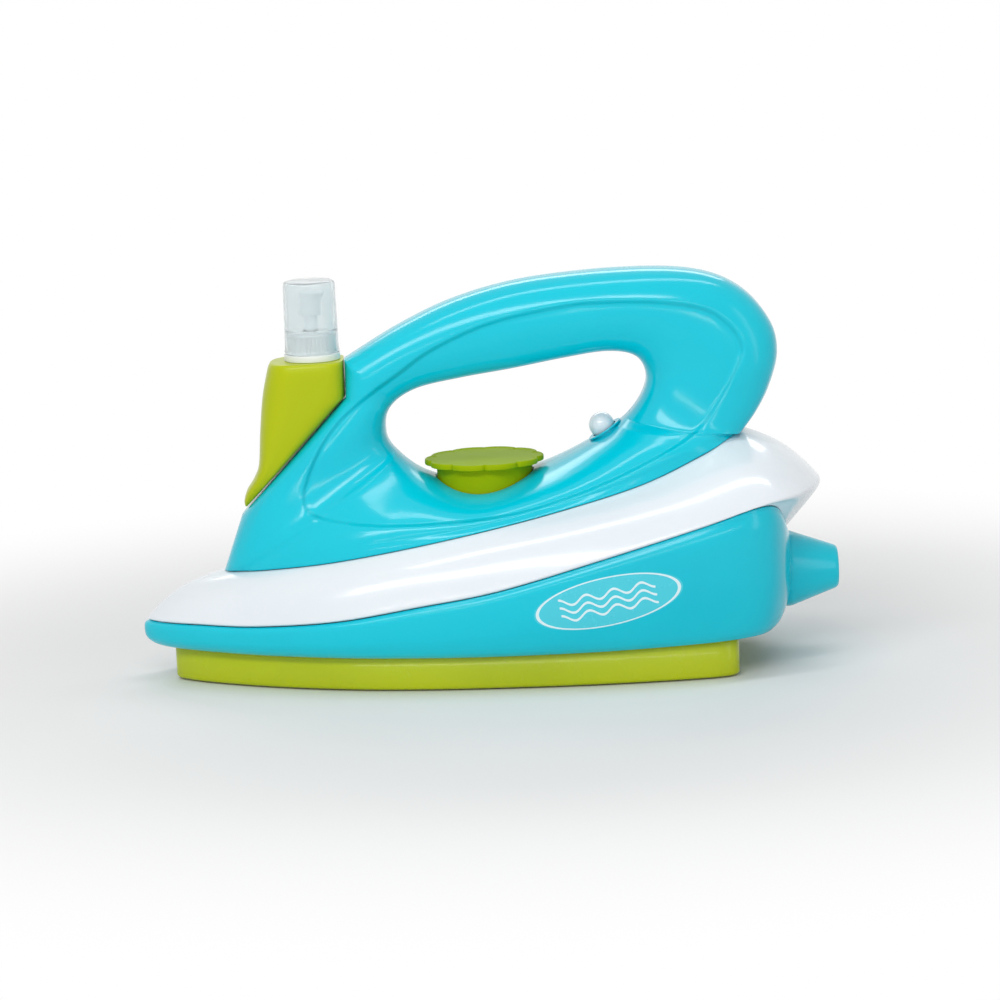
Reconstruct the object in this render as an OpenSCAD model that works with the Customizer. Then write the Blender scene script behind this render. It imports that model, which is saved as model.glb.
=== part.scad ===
// Toy iron: a looped handle on a white skirt and a turquoise base, with a floating lime sole,
// a mist sprayer in the front, a petal dial and a ball button in the hand opening.
// X runs from the nose to the heel, Z is up, and Y = 0 is the mid-plane.

/* [Base] */
// Length from the nose to the end of the cord bush
iron_l = 220; // [212:1:228]
// Reach of the cord bush behind the heel
bush_l = 16.4; // [13:0.2:20]
// Width of the base at its widest
base_w = 91; // [86:1:100]
// Height of the base's lower rim above the ground
rim_z = 10.5; // [10.5:0.1:10.9]
// Height of the base's top edge at the nose
nose_edge_z = 19; // [19:0.1:20]
// Height of the base's top edge at the heel corners
corner_edge_z = 53.4; // [50:0.5:56]
// Outward swell of the base's side
base_swell = 1.2; // [0.5:0.1:2]
// Distance by which the rim is drawn in under the base's side
rim_in = 4; // [3:0.1:4.5]
// Width of the ledge that the chassis bears on
ledge_w = 3; // [2.6:0.1:3.4]

/* [Shells] */
// Wall of the moulded shells
wall = 2; // [1.6:0.1:2.4]
// Gap along the seams between the shells
seam_gap = 0.25; // [0.15:0.05:0.4]
// Running clearance of a turning or sliding piece
slide_gap = 0.1; // [0.06:0.02:0.2]

/* [Skirt] */
// Reach of the tail behind the heel
tail_l = 12.3; // [9:0.1:14]
// Height of the tail's tip
tail_z = 54.6; // [52:0.2:57]
// Swell of the skirt between its edges
skirt_swell = 2.6; // [1:0.1:4]

/* [Handle] */
// Distance of the handle's foot behind the nose
seat_off = 25; // [22:0.5:28]
// Distance of the foot's rear before the heel
seat_end = 13; // [9:0.5:16]
// Width of the handle's foot
seat_w = 64; // [58:1:70]
// Height of the foot's front end
seat_front_z = 34; // [32:0.5:36]
// Height of the foot's rear end
seat_rear_z = 72; // [70:0.5:75]
// Overhang of the handle behind its foot
handle_over = 12.3; // [8:0.1:16]
// Height of the top of the handle
handle_top_z = 124.2; // [120:0.5:130]
// Width of the grip
grip_w = 28; // [25:0.5:32]
// Roundness of the grip's section, 1 for an ellipse
grip_round = 0.66; // [0.5:0.02:1]
// Distance of the hand opening behind the foot's front
opening_off = 53; // [51:0.5:55]
// Distance of the hand opening before the foot's rear
opening_end = 29; // [26:0.5:33]
// Height of the lowest point of the hand opening
opening_z = 58.5; // [57.5:0.5:60]
// Height of the hand opening
opening_h = 40; // [37:0.5:42]

/* [Bottle and sprayer] */
// Distance of the sprayer's axis behind the nose
bottle_off = 56; // [55:0.5:57]
// Depth of the bottle's shoulder
bottle_d = 22.6; // [21:0.2:24]
// Width of the bottle
bottle_w = 24; // [22:0.5:26]
// Wall of the bottle
bottle_wall = 1.2; // [0.9:0.1:1.6]
// Height of the bottle's upright back under its shoulder
step_h = 11.5; // [9.5:0.5:13.5]
// Distance of the bottle's tip behind the nose
tip_off = 33; // [31:0.5:35]
// Height of the bottle's tip
tip_z = 53.6; // [51:0.5:56]
// Outer radius of the bottle's neck
neck_r = 6.2; // [5.9:0.1:6.4]
// Height of the neck
neck_h = 6; // [5:0.5:7]
// Outer radius of the collar's flange
flange_r = 8.75; // [8.5:0.05:9.2]
// Outer radius of the collar's body
collar_r = 7.6; // [7.4:0.05:7.8]
// Height of the cap's top
cap_top_z = 124.4; // [122:0.2:128]
// Outer radius of the cap's top
cap_top_r = 8.1; // [7.9:0.05:8.4]
// Wall of the cap
cap_wall = 0.8; // [0.6:0.05:0.8]
// Room between the spray head and the cap's top
cap_room = 2.4; // [1.5:0.1:3.4]
// Stroke of the spray head
spray_stroke = 4; // [3:0.2:4.4]

/* [Dial and button] */
// Distance of the dial's axis behind the lowest point of the hand opening
dial_off = 1.3; // [0:0.1:2.5]
// Height of the dial's top
dial_top_z = 66.6; // [66:0.1:68]
// Outer radius of the dial's petals
dial_r = 18.7; // [17.5:0.1:19]
// Thickness of the dial's disc
dial_t = 1.8; // [1.4:0.1:2.2]
// Number of petals
petals = 10; // [8:1:14]
// Radius of the dial's drum
drum_r = 15; // [14:0.1:16]
// Radius of the dial's pin
pin_r = 2; // [1.5:0.1:2.5]
// Radius of the ball button
ball_r = 4; // [3.6:0.1:4.4]
// Stroke of the ball button
button_stroke = 2; // [1:0.1:2.2]

/* [Sole] */
// Wall of the sole
sole_wall = 1.6; // [1.2:0.1:2]
// Thickness of the sole's floor
sole_t = 2.2; // [1.8:0.1:2.6]
// Height of the sole's wall
sole_h = 12; // [11.5:0.1:12.2]
// Gap between the sole and the base
sole_gap = 0.6; // [0.4:0.05:1]
// Length of the heel that the sole leaves bare
sole_short = 17; // [13:0.5:19]
// Stroke of the sole
sole_stroke = 3; // [2:0.1:3.2]

/* [Chassis and fittings] */
// Thickness of the chassis plate
chassis_t = 2; // [1.6:0.1:2.2]
// Height of the chassis plate's top
chassis_z = 17.5; // [17.3:0.1:17.6]
// Radius of a battery cell
cell_r = 7.25; // [7:0.05:7.3]
// Length of a battery cell
cell_l = 50.5; // [49:0.5:51]
// Wall of the battery box
box_wall = 1.6; // [1.2:0.1:2]
// Radius of the speaker
speaker_r = 14.5; // [13:0.5:15.5]

/* [Hidden] */
$fn = 64;

turquoise = [0.0, 0.72, 0.82];
white = [0.93, 0.94, 0.94];
lime = [0.72, 0.78, 0.05];
steel = [0.72, 0.72, 0.74];

// Share by which the nose is drawn in more than the sides
nose_share = 1.3;
// Points along one side of a loop, and rows across the handle's skin
side_n = 34;
skin_n = 9;

base_l = iron_l - bush_l - base_swell * nose_share;
seat_l = base_l - seat_off - seat_end;
handle_l = seat_l + handle_over;
opening_l = seat_l - opening_off - opening_end;
nose_x = base_swell * nose_share - iron_l / 2;
bush_x = iron_l / 2;
heel_x = nose_x + base_l;
tail_x = heel_x + tail_l;
seat_x = nose_x + seat_off;
bottle_x = nose_x + bottle_off;
notch_x = bottle_x + bottle_d * 0.44;
tip_x = nose_x + tip_off;

// Sprayer's heights, stacked from the cap's top down to the bottle's shoulder
actuator_h = 7.6;
head_gap = 1;
lid_t = 1.3;
pump_flange_t = 1;
gasket_t = 0.8;
actuator_z = cap_top_z - cap_wall - cap_room - actuator_h;
collar_top_z = actuator_z - head_gap - spray_stroke;
pump_flange_z = collar_top_z - lid_t - pump_flange_t;
neck_top_z = pump_flange_z - gasket_t;
bottle_top_z = neck_top_z - neck_h;
step_z = bottle_top_z - step_h;

// Curves through points
function mix(a, b, f) = a + (b - a) * f;
function spline(a, b, c, d, t) =
  b + 0.5 * t * ((c - a) + t * (2 * a - 5 * b + 4 * c - d + t * (3 * (b - c) + d - a)));
function clamped(p, i) = p[min(max(i, 0), len(p) - 1)];
function open_curve(p, u) =
  let(i = min(floor(u), len(p) - 2))
  spline(clamped(p, i - 1), p[i], p[i + 1], clamped(p, i + 2), u - i);
function wrapped(p, i) = p[(i + len(p)) % len(p)];
function closed_curve(p, u) =
  let(i = floor(u))
  spline(wrapped(p, i - 1), wrapped(p, i), wrapped(p, i + 1), wrapped(p, i + 2), u - i);
function flip_y(p) = [for (i = [0 : len(p) - 1]) i == 1 ? -p[i] : p[i]];
function mirrored(p, i) =
  i < 0 ? flip_y(p[-i]) : i > len(p) - 1 ? flip_y(p[2 * (len(p) - 1) - i]) : p[i];
function half_curve(p, u) =
  let(i = min(floor(u), len(p) - 2))
  spline(mirrored(p, i - 1), p[i], p[i + 1], mirrored(p, i + 2), u - i);

// A closed loop from the points of its far half, nose first
function loop(p) = [
  for (j = [0 : 2 * side_n - 1])
    let(u = (len(p) - 1) * (j <= side_n ? j : 2 * side_n - j) / side_n, q = half_curve(p, u))
    j <= side_n ? q : flip_y(q)
];
function inset(r, d) = [
  for (j = [0 : len(r) - 1])
    let(t = wrapped(r, j + 1) - wrapped(r, j - 1), m = norm([t[0], t[1]]))
    [r[j][0] + d * t[1] / m, r[j][1] - d * t[0] / m, r[j][2]]
];
function at_z(r, z) = [for (p = r) [p[0], p[1], z]];
function lift(r, dz) = [for (p = r) [p[0], p[1], p[2] + dz]];
function mix_rings(a, b, f) = [for (j = [0 : len(a) - 1]) mix(a[j], b[j], f)];

// Faces between stacked rings, and across the first or the last of them
function ring_faces(k, n, closed) = [
  for (i = [0 : k - (closed ? 1 : 2)], j = [0 : n - 1])
    let(a = i * n, b = ((i + 1) % k) * n, j2 = (j + 1) % n)
    each [[a + j, a + j2, b + j2], [a + j, b + j2, b + j]]
];
function cap_faces(n, first, up) = [
  for (j = [0 : n / 2 - 1])
    let(a = first + j, b = first + j + 1, c = first + (n - j - 1) % n, d = first + (n - j) % n)
    each [
      if (b != c) up ? [a, b, c] : [a, c, b],
      if (a != d) up ? [a, c, d] : [a, d, c]
    ]
];
module band(rings) {
  polyhedron(
    [for (r = rings) each r],
    ring_faces(len(rings), len(rings[0]), true),
    convexity = 8
  );
}
module loft(rings) {
  n = len(rings[0]);
  k = len(rings);
  polyhedron(
    [for (r = rings) each r],
    concat(ring_faces(k, n, false), cap_faces(n, 0, false), cap_faces(n, (k - 1) * n, true)),
    convexity = 8
  );
}

// A helical wire standing on z = 0, with flat turns at its ends
module coil_spring(r, wire, height, turns) {
  steps = 8;
  sides = 6;
  n = round(turns * steps);
  rise = height - 2 * wire;
  points = [
    for (i = [0 : n], s = [0 : sides - 1])
      let(
        a = 360 * i / steps,
        z = wire + rise * min(max((i / steps - 0.75) / (turns - 1.5), 0), 1),
        q = r + wire * cos(360 * s / sides)
      )
      [q * cos(a), q * sin(a), z + wire * sin(360 * s / sides)]
  ];
  faces = concat(
    [for (i = [0 : n - 1], s = [0 : sides - 1])
      let(a = i * sides + s, b = i * sides + (s + 1) % sides)
      each [[a, b, b + sides], [a, b + sides, a + sides]]],
    [for (s = [1 : sides - 2]) [0, s + 1, s]],
    [for (s = [1 : sides - 2]) [n * sides, n * sides + s, n * sides + s + 1]]
  );
  polyhedron(points, faces, convexity = 6);
}

module tube(r_out, r_in, h) {
  difference() {
    cylinder(r = r_out, h = h);
    translate([0, 0, -1]) cylinder(r = r_in, h = h + 2);
  }
}

// A screw whose head stands on z = 0 and whose shank points up
module screw(head_r, head_h, shank_r, shank_l) {
  difference() {
    union() {
      translate([0, 0, -head_h]) cylinder(r = head_r, h = head_h);
      cylinder(r = shank_r, h = shank_l);
    }
    for (turn = [0, 90])
      translate([0, 0, -head_h]) rotate([0, 0, turn])
        cube([head_r * 1.2, head_r * 0.3, head_h * 0.8], center = true);
  }
}

// Base's top edge: share of the length, of the half width and of the rise
edge_shape = [
  [0, 0, 0], [0.022, 0.15, 0], [0.08, 0.34, 0.012], [0.175, 0.575, 0.03], [0.30, 0.79, 0.10],
  [0.425, 0.91, 0.23], [0.55, 0.967, 0.36], [0.71, 0.99, 0.61], [0.865, 0.945, 0.855],
  [0.945, 0.85, 0.98], [0.98, 0.69, 0.95], [0.996, 0.40, 0.74], [1, 0, 0.60]
];
// A loop drawn in from the base's plan by a gap, at a share of the height from rim to edge
function side_points(gap, f) = [
  for (s = edge_shape)
    [
      nose_x + nose_share * gap + (base_l - (nose_share + 1) * gap) * s[0],
      (base_w / 2 - gap) * s[1],
      mix(rim_z, mix(nose_edge_z, corner_edge_z, s[2]), f)
    ]
];
function side_loop(gap, f) = loop(side_points(gap, f));
// Half width of the base's plan, drawn in by a gap, at a place along X
function plan_half(x, gap) =
  (base_w / 2 - gap)
  * lookup(
    (x - nose_x - nose_share * gap) / (base_l - (nose_share + 1) * gap),
    [for (s = edge_shape) [s[0], s[1]]]
  );
rim_inner = rim_in + wall * 0.8;
inner_gap = wall + 0.3;
sole_inner = rim_inner + sole_gap + sole_wall;
edge_points = side_points(0, 1);
edge_loop = loop(edge_points);

// Crease of the skirt: along the base's edge, then out to the tail's tip
crease_rise = 1;
crease_points = concat(
  [for (i = [0 : 8]) edge_points[i] + [0, i > 0 ? 0.4 : 0, crease_rise]],
  [
    [heel_x - 7, base_w / 2 * 0.85, corner_edge_z + crease_rise],
    [heel_x + tail_l * 0.36, base_w / 2 * 0.66, mix(corner_edge_z, tail_z, 0.6) + crease_rise],
    [heel_x + tail_l * 0.83, base_w / 2 * 0.34, tail_z + crease_rise * 0.5],
    [tail_x, 0, tail_z]
  ]
);
crease_loop = loop(crease_points);

// Handle's foot: share of the length, of the half width, of the rise, place on the opening, swell
seat_shape = [
  [0, 0, 0, 16, 1], [0.012, 0.13, 0.004, 15.97, 0.95], [0.037, 0.26, 0.02, 15.9, 0.8],
  [0.088, 0.45, 0.05, 15.75, 0.55], [0.204, 0.75, 0.13, 15.4, 0.3], [0.339, 0.94, 0.24, 14.9, 0.2],
  [0.494, 1, 0.37, 13.9, 0.2], [0.649, 0.94, 0.51, 13.1, 0.2], [0.805, 0.81, 0.68, 12.3, 0.25],
  [0.923, 0.63, 0.88, 11.7, 0.4], [0.968, 0.45, 0.965, 11.3, 0.6], [0.992, 0.24, 1, 11, 0.85],
  [1, 0, 1, 10.8, 1]
];
front_swell = 1.04;
seat_points = [
  for (s = seat_shape)
    [
      seat_x + seat_l * s[0], seat_w / 2 * s[1], mix(seat_front_z, seat_rear_z, s[2]),
      s[3], grip_w / 2 * s[4] * front_swell, grip_round
    ]
];
seat_loop = [for (p = loop(seat_points)) [p[0], p[1], p[2]]];

// Hand opening: shares of its length and height, starting low at its front
opening_shape = [
  [0.03, 0.30], [0, 0.46], [0.024, 0.64], [0.122, 0.77], [0.293, 0.84], [0.488, 0.895],
  [0.683, 0.96], [0.854, 1], [0.963, 0.95], [1, 0.79], [0.97, 0.61], [0.896, 0.44],
  [0.78, 0.29], [0.585, 0.11], [0.354, 0], [0.158, 0.09]
];
function opening_point(u) =
  let(s = closed_curve(opening_shape, u))
  [seat_x + opening_off + opening_l * s[0], opening_z + opening_h * s[1]];
low_u = 14;
dial_x = opening_point(low_u)[0] + dial_off;
dial_floor_z = dial_top_z - dial_t;
dial_room = 0.6;

// Handle's top line from the notch to the foot's rear: shares of length and height,
// place on the opening, swell
arch_shape = [
  [0.333, 0.72, 3.0, 0.90], [0.437, 0.868, 3.9, 0.93], [0.5615, 0.963, 5.2, 0.96],
  [0.73, 1, 7.1, 1], [0.8565, 0.973, 8.0, 1.03], [0.936, 0.862, 8.6, 1.06],
  [0.987, 0.661, 9.1, 1.07], [1, 0.467, 9.6, 1.07], [0.984, 0.268, 10.1, 1.06],
  [0.959, 0.115, 10.5, 1.05]
];
seat_flat = 0.3;
function arch_column(s) = [
  seat_x + handle_l * s[0], 0, mix(seat_rear_z, handle_top_z, s[1]),
  s[2], grip_w / 2 * s[3], grip_round
];
notch_column = [notch_x, 0, bottle_top_z, 2.3, grip_w / 2 * 0.88, grip_round];
arch_points = concat(
  [notch_column],
  [for (s = arch_shape) arch_column(s)],
  [[seat_x + seat_l, 0, seat_rear_z, 10.8, grip_w / 2 * front_swell, grip_round]]
);
foot_column = [seat_x, 0, seat_front_z, 0, grip_w / 2 * front_swell, grip_round];
tip_column = [tip_x - 1.5, 0, tip_z - 2, 0.3, grip_w / 2 * 0.95, seat_flat];
step_column = [notch_x, 0, step_z, 1.8, grip_w / 2 * 0.9, seat_flat];
arch_n = 26;
seat_n = 28;
slope_n = 7;
columns = concat(
  [for (i = [0 : 1]) mix(foot_column, tip_column, i / 2)],
  [for (i = [0 : slope_n - 1]) mix(tip_column, step_column, i / slope_n)],
  [for (i = [0 : 1]) mix(step_column, notch_column, i / 2)],
  [for (i = [0 : arch_n - 1]) open_curve(arch_points, (len(arch_points) - 1) * i / arch_n)],
  [for (i = [0 : seat_n - 1]) half_curve(seat_points, (len(seat_points) - 1) * (1 - i / seat_n))]
);

// Point of the handle's far skin on column c, at share t from its outer edge to the opening,
// at a depth below the surface
foot_blend = 10;
function skin_point(c, t, depth) =
  let(
    o = [c[0], c[2]],
    q = opening_point(c[3]),
    d = (q - o) / norm(q - o),
    k = min(1, c[1] / foot_blend),
    s = mix((1 - cos(180 * t)) / 2, sin(90 * t), k),
    p = mix(o + d * depth * (1 - k), q - d * depth, s),
    e = mix(c[5], grip_round, t),
    y = max(0, c[1] - depth) * pow(cos(90 * t), 0.9) + (c[4] - depth) * pow(sin(180 * t), e)
  )
  [p[0], y, p[1]];
function skin_row(t, depth) = [for (c = columns) skin_point(c, t, depth)];

module handle_skin() {
  rows = concat(
    [for (r = [skin_n : -1 : 0]) skin_row(r / skin_n, 0)],
    [for (r = [0 : skin_n]) skin_row(r / skin_n, wall)]
  );
  band(rows);
}

// Screw posts across the handle, at the middle of these columns
post_columns = [0, 14, 20, 27, 33];
post_r = 3.2;
pilot_r = 1.05;
shank_r = 1.3;
head_r = 2.6;
head_h = 1.8;
head_seat_y = 5;
pilot_depth = 8;
function post_at(i) = skin_point(columns[post_columns[i]], 0.5, wall);
module each_post() {
  for (i = [0 : len(post_columns) - 1])
    let(p = post_at(i))
      translate([p[0], 0, p[2]]) rotate([-90, 0, 0]) children();
}
module posts() {
  for (i = [0 : len(post_columns) - 1])
    let(p = post_at(i))
      translate([p[0], 0, p[2]]) rotate([-90, 0, 0]) cylinder(r = post_r, h = p[1] + wall / 4);
}

// Ball button's place on the floor of the opening, and its axis
ball_u = 11.55;
ball_floor = opening_point(ball_u);
ball_tangent = opening_point(ball_u + 0.2) - opening_point(ball_u - 0.2);
ball_tilt = atan2(ball_tangent[1], ball_tangent[0]) + 180;
module at_button() {
  translate([ball_floor[0], 0, ball_floor[1]]) rotate([0, -ball_tilt, 0]) children();
}
button_r = ball_r + 1.2;
button_len = 15;

module handle_cuts() {
  translate([dial_x, 0, post_top_z]) cylinder(r = drum_r + dial_room, h = dial_t + dial_floor_z - post_top_z);
  translate([dial_x, 0, dial_floor_z - dial_room])
    cylinder(r = dial_r + dial_room, h = dial_t + 2 * dial_room);
  at_button() translate([0, 0, -wall * 3]) cylinder(r = button_r + slide_gap / 2, h = wall * 4);
}

module handle_right() {
  color(turquoise)
    difference() {
      union() {
        handle_skin();
        posts();
      }
      handle_cuts();
      each_post() translate([0, 0, -1]) cylinder(r = shank_r + slide_gap, h = grip_w);
      each_post() translate([0, 0, head_seat_y]) cylinder(r = head_r + slide_gap, h = grip_w);
    }
}

module handle_left() {
  color(turquoise)
    mirror([0, 1, 0])
      difference() {
        union() {
          handle_skin();
          posts();
        }
        mirror([0, 1, 0]) handle_cuts();
        each_post() translate([0, 0, -1]) cylinder(r = pilot_r, h = pilot_depth + 1);
      }
}

module handle_screws() {
  color(steel)
    each_post()
      translate([0, 0, head_seat_y]) mirror([0, 0, 1])
        screw(head_r, head_h, pilot_r, head_seat_y + pilot_depth - 1);
}

// Skirt: rings from the base's edge over the crease up to the handle's foot
skirt_wall = wall * 1.35;
lip_drop = 1;
function swelled(f) =
  inset(
    lift(mix_rings(crease_loop, seat_loop, f), skirt_swell * sin(180 * f) * 0.7),
    -skirt_swell * sin(180 * f) * 0.7
  );
skirt_outer = [
  lift(edge_loop, seam_gap),
  crease_loop,
  swelled(0.2),
  swelled(0.45),
  swelled(0.72),
  lift(seat_loop, -seam_gap)
];
lip_loop = inset(seat_loop, wall + seam_gap);
skirt_inner = [
  lift(lip_loop, -lip_drop),
  inset(swelled(0.45), skirt_wall),
  inset(crease_loop, skirt_wall),
  inset(lift(edge_loop, seam_gap), wall)
];
chassis_front = 64;
chassis_rear = 40;
chassis_screw_at = [
  for (x = [nose_x + chassis_front, heel_x - chassis_rear]) [x, plan_half(x, sole_inner) - head_r - 0.6]
];
boss_r = 3.6;
module each_chassis_screw() {
  for (p = chassis_screw_at, side = [-1, 1])
    translate([p[0], side * p[1], chassis_z]) children();
}
module skirt() {
  color(white)
    difference() {
      union() {
        band(concat(skirt_outer, skirt_inner));
        intersection() {
          each_chassis_screw() cylinder(r = boss_r, h = corner_edge_z);
          loft(concat([side_loop(0, 0)], [for (r = skirt_outer) lift(r, -wall / 4)]));
        }
      }
      each_chassis_screw() translate([0, 0, -1]) cylinder(r = pilot_r, h = pilot_depth + 1);
    }
}

// Base: outer face from the rim to the edge, inner face with the chassis ledge
ledge_z = chassis_z + slide_gap;
ledge_t = 1.1;
edge_round = 0.4;
bush_z = 26.5;
bush_r = 12;
bush_flange_r = bush_r + 1.5;
bush_end_r = 6;
bush_bore_r = 2.6;
// Room for the heel's bow across the bush's flange
heel_bow = 0.6;
module base_shell() {
  color(turquoise)
    difference() {
      band([
        side_loop(rim_in, 0),
        side_loop(rim_in * 0.55, 0.06),
        side_loop(rim_in * 0.15, 0.18),
        side_loop(-base_swell * 0.6, 0.38),
        side_loop(-base_swell, 0.66),
        side_loop(-base_swell * 0.7, 0.9),
        side_loop(edge_round, 1),
        side_loop(inner_gap, 0.97),
        at_z(side_loop(inner_gap, 1), ledge_z + ledge_t),
        at_z(side_loop(wall + ledge_w, 1), ledge_z + ledge_t),
        at_z(side_loop(wall + ledge_w, 1), ledge_z),
        at_z(side_loop(inner_gap, 1), ledge_z),
        side_loop(rim_inner, 0)
      ]);
      translate([heel_x - 10, 0, bush_z]) rotate([0, 90, 0]) cylinder(r = bush_r + slide_gap, h = 20);
    }
}

module cord_bush() {
  flange_x = heel_x - wall - ledge_w - heel_bow;
  plug_x = heel_x + base_swell;
  color(turquoise)
    translate([0, 0, bush_z]) rotate([0, 90, 0])
      rotate_extrude()
        polygon([
          [bush_bore_r, flange_x - 2], [bush_flange_r, flange_x - 2], [bush_flange_r, flange_x],
          [bush_r, flange_x], [bush_r, plug_x], [bush_end_r + 0.8, bush_x - 0.8],
          [bush_end_r, bush_x], [bush_bore_r, bush_x]
        ]);
}

// Bottle: level rings from the tip up to the shoulder
// share of the height, reach of the front before the slope's start, share of the half width
bottle_shape = [
  [0.012, 0.9, 0.18], [0.05, 2.2, 0.34], [0.12, 4.4, 0.52], [0.2, 6.8, 0.66], [0.3, 0, 0.78],
  [0.5, 0, 0.9], [0.75, 0, 0.97], [0.92, 0, 1], [0.985, 0, 0.97], [1, 0, 0.88]
];
bottle_fronts = [-23.4, -23.6, -22.6, -20.2, -18.4, -17.6, -16.3, -14.6, -13.6, -12.2];
function bottle_back(z) =
  z > step_z ? notch_x : mix(tip_x, notch_x, (z - tip_z) / (step_z - tip_z));
// Depth of the sloping wall along X, against its thickness
slope_lean = 1.45;
bottle_n = 36;
function bottle_ring(i, depth) =
  let(
    s = bottle_shape[i],
    z = mix(tip_z, bottle_top_z, s[0]),
    xf = bottle_x + bottle_fronts[i] + depth,
    xb = max(xf + 0.6, bottle_back(z) - seam_gap - depth * (z > step_z ? 1 : slope_lean)),
    w = bottle_w / 2 * s[2] - depth
  )
  [
    for (j = [0 : bottle_n - 1])
      let(a = 360 * j / bottle_n, c = cos(a), q = sin(a))
      [
        mix(xf, xb, (1 - sign(c) * pow(abs(c), 0.75)) / 2),
        w * sign(q) * pow(abs(q), 0.7),
        z
      ]
  ];
neck_bore_r = neck_r - bottle_wall - 0.3;
module bottle() {
  color(lime)
    difference() {
      union() {
        loft([for (i = [0 : len(bottle_shape) - 1]) bottle_ring(i, 0)]);
        translate([bottle_x, 0, bottle_top_z - 1]) cylinder(r = neck_r, h = neck_h + 1);
      }
      loft([for (i = [2 : 7]) bottle_ring(i, bottle_wall)]);
      translate([bottle_x, 0, bottle_top_z - 6]) cylinder(r = neck_bore_r, h = neck_h + 12);
    }
}

// Sprayer on the neck
flange_t = 2.1;
pump_r = 3.6;
pump_bore_r = 2.4;
dip_r = 1.5;
slope = (step_z - tip_z) / (notch_x - tip_x);
tube_grip = 2.4;
dip_l = 5.8;
tube_clear = 1.6;
tube_z = tip_z + slope * (bottle_x - tip_x + dip_r + slope_lean * bottle_wall) + tube_clear;
pump_bottom_z = tube_z + dip_l - tube_grip;
chamber_z = pump_bottom_z + tube_grip + 1;
piston_z = chamber_z + 9;
piston_h = 3;
stem_r = 1.5;
actuator_r = 3.5;
nozzle_r = 1.3;
module at_bottle(z) {
  translate([bottle_x, 0, z]) children();
}

module spray_collar() {
  body_h = collar_top_z - bottle_top_z - slide_gap;
  color(white)
    at_bottle(bottle_top_z + slide_gap)
      difference() {
        union() {
          cylinder(r = flange_r, h = flange_t);
          cylinder(r = collar_r, h = body_h - 0.8);
          cylinder(r = collar_r - 0.8, h = body_h);
        }
        translate([0, 0, -1])
          cylinder(r = neck_r + slide_gap, h = pump_flange_z + pump_flange_t - bottle_top_z + 1);
        cylinder(r = stem_r + 1.2, h = body_h + 1);
      }
}

module collar_gasket() {
  color([0.85, 0.85, 0.82])
    at_bottle(neck_top_z) tube(neck_r - 0.1, pump_r + slide_gap, gasket_t);
}

module pump_body() {
  color(white)
    at_bottle(0)
      difference() {
        union() {
          translate([0, 0, pump_bottom_z])
            cylinder(r = pump_r, h = pump_flange_z + pump_flange_t - pump_bottom_z);
          translate([0, 0, pump_flange_z]) cylinder(r = neck_r - 0.1, h = pump_flange_t);
        }
        translate([0, 0, chamber_z]) cylinder(r = pump_bore_r, h = 40);
        translate([0, 0, pump_bottom_z - 1]) cylinder(r = dip_r, h = tube_grip + 1);
        translate([0, 0, pump_bottom_z]) cylinder(r = dip_r - 0.8, h = tube_grip + 2);
      }
}

module dip_tube() {
  color([0.9, 0.92, 0.92, 0.8])
    at_bottle(tube_z) tube(dip_r, dip_r - 0.5, dip_l);
}

module pump_stem() {
  color(white)
    at_bottle(0)
      difference() {
        union() {
          translate([0, 0, piston_z]) cylinder(r = pump_bore_r - slide_gap / 2, h = piston_h);
          translate([0, 0, piston_z]) cylinder(r = stem_r, h = actuator_z + 3 - piston_z);
        }
        translate([0, 0, piston_z + piston_h]) cylinder(r = 0.6, h = 40);
      }
}

module pump_spring() {
  color(steel)
    at_bottle(chamber_z) coil_spring(pump_bore_r - 0.6, 0.3, piston_z - chamber_z, 6);
}

module actuator() {
  color(white)
    at_bottle(actuator_z)
      difference() {
        union() {
          cylinder(r = actuator_r, h = actuator_h - 1.2);
          hull() {
            translate([0, 0, actuator_h - 3]) cylinder(r = actuator_r, h = 0.5, $fn = 32);
            translate([0.8, 0, actuator_h - 0.6]) cylinder(r = actuator_r + 0.5, h = 0.6, $fn = 32);
          }
          translate([0, 0, -spray_stroke - 0.5]) cylinder(r = stem_r + 0.7, h = spray_stroke + 1);
        }
        translate([0, 0, -spray_stroke - 1]) cylinder(r = stem_r + slide_gap / 4, h = spray_stroke + 4);
        translate([0, 0, 4]) rotate([0, -90, 0]) cylinder(r = nozzle_r, h = 6);
      }
}

module nozzle() {
  color([0.8, 0.82, 0.84])
    at_bottle(actuator_z + 4) rotate([0, -90, 0]) translate([0, 0, actuator_r - 1.6])
      tube(nozzle_r, 0.3, 1.5);
}

module cap() {
  bottom_z = bottle_top_z + flange_t + 2 * slide_gap;
  bottom_r = flange_r - 0.15;
  step = collar_top_z + 0.6;
  grip = collar_r + slide_gap;
  color([0.85, 0.92, 0.95, 0.45])
    at_bottle(0)
      rotate_extrude()
        polygon([
          [grip, bottom_z], [bottom_r, bottom_z], [bottom_r, bottom_z + 0.9],
          [bottom_r - 0.2, bottom_z + 1.1], [cap_top_r, cap_top_z - 0.7],
          [cap_top_r - 0.7, cap_top_z], [0, cap_top_z], [0, cap_top_z - cap_wall],
          [cap_top_r - cap_wall - 0.2, cap_top_z - cap_wall], [grip - 0.4, step], [grip, step - 0.4]
        ]);
}

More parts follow.
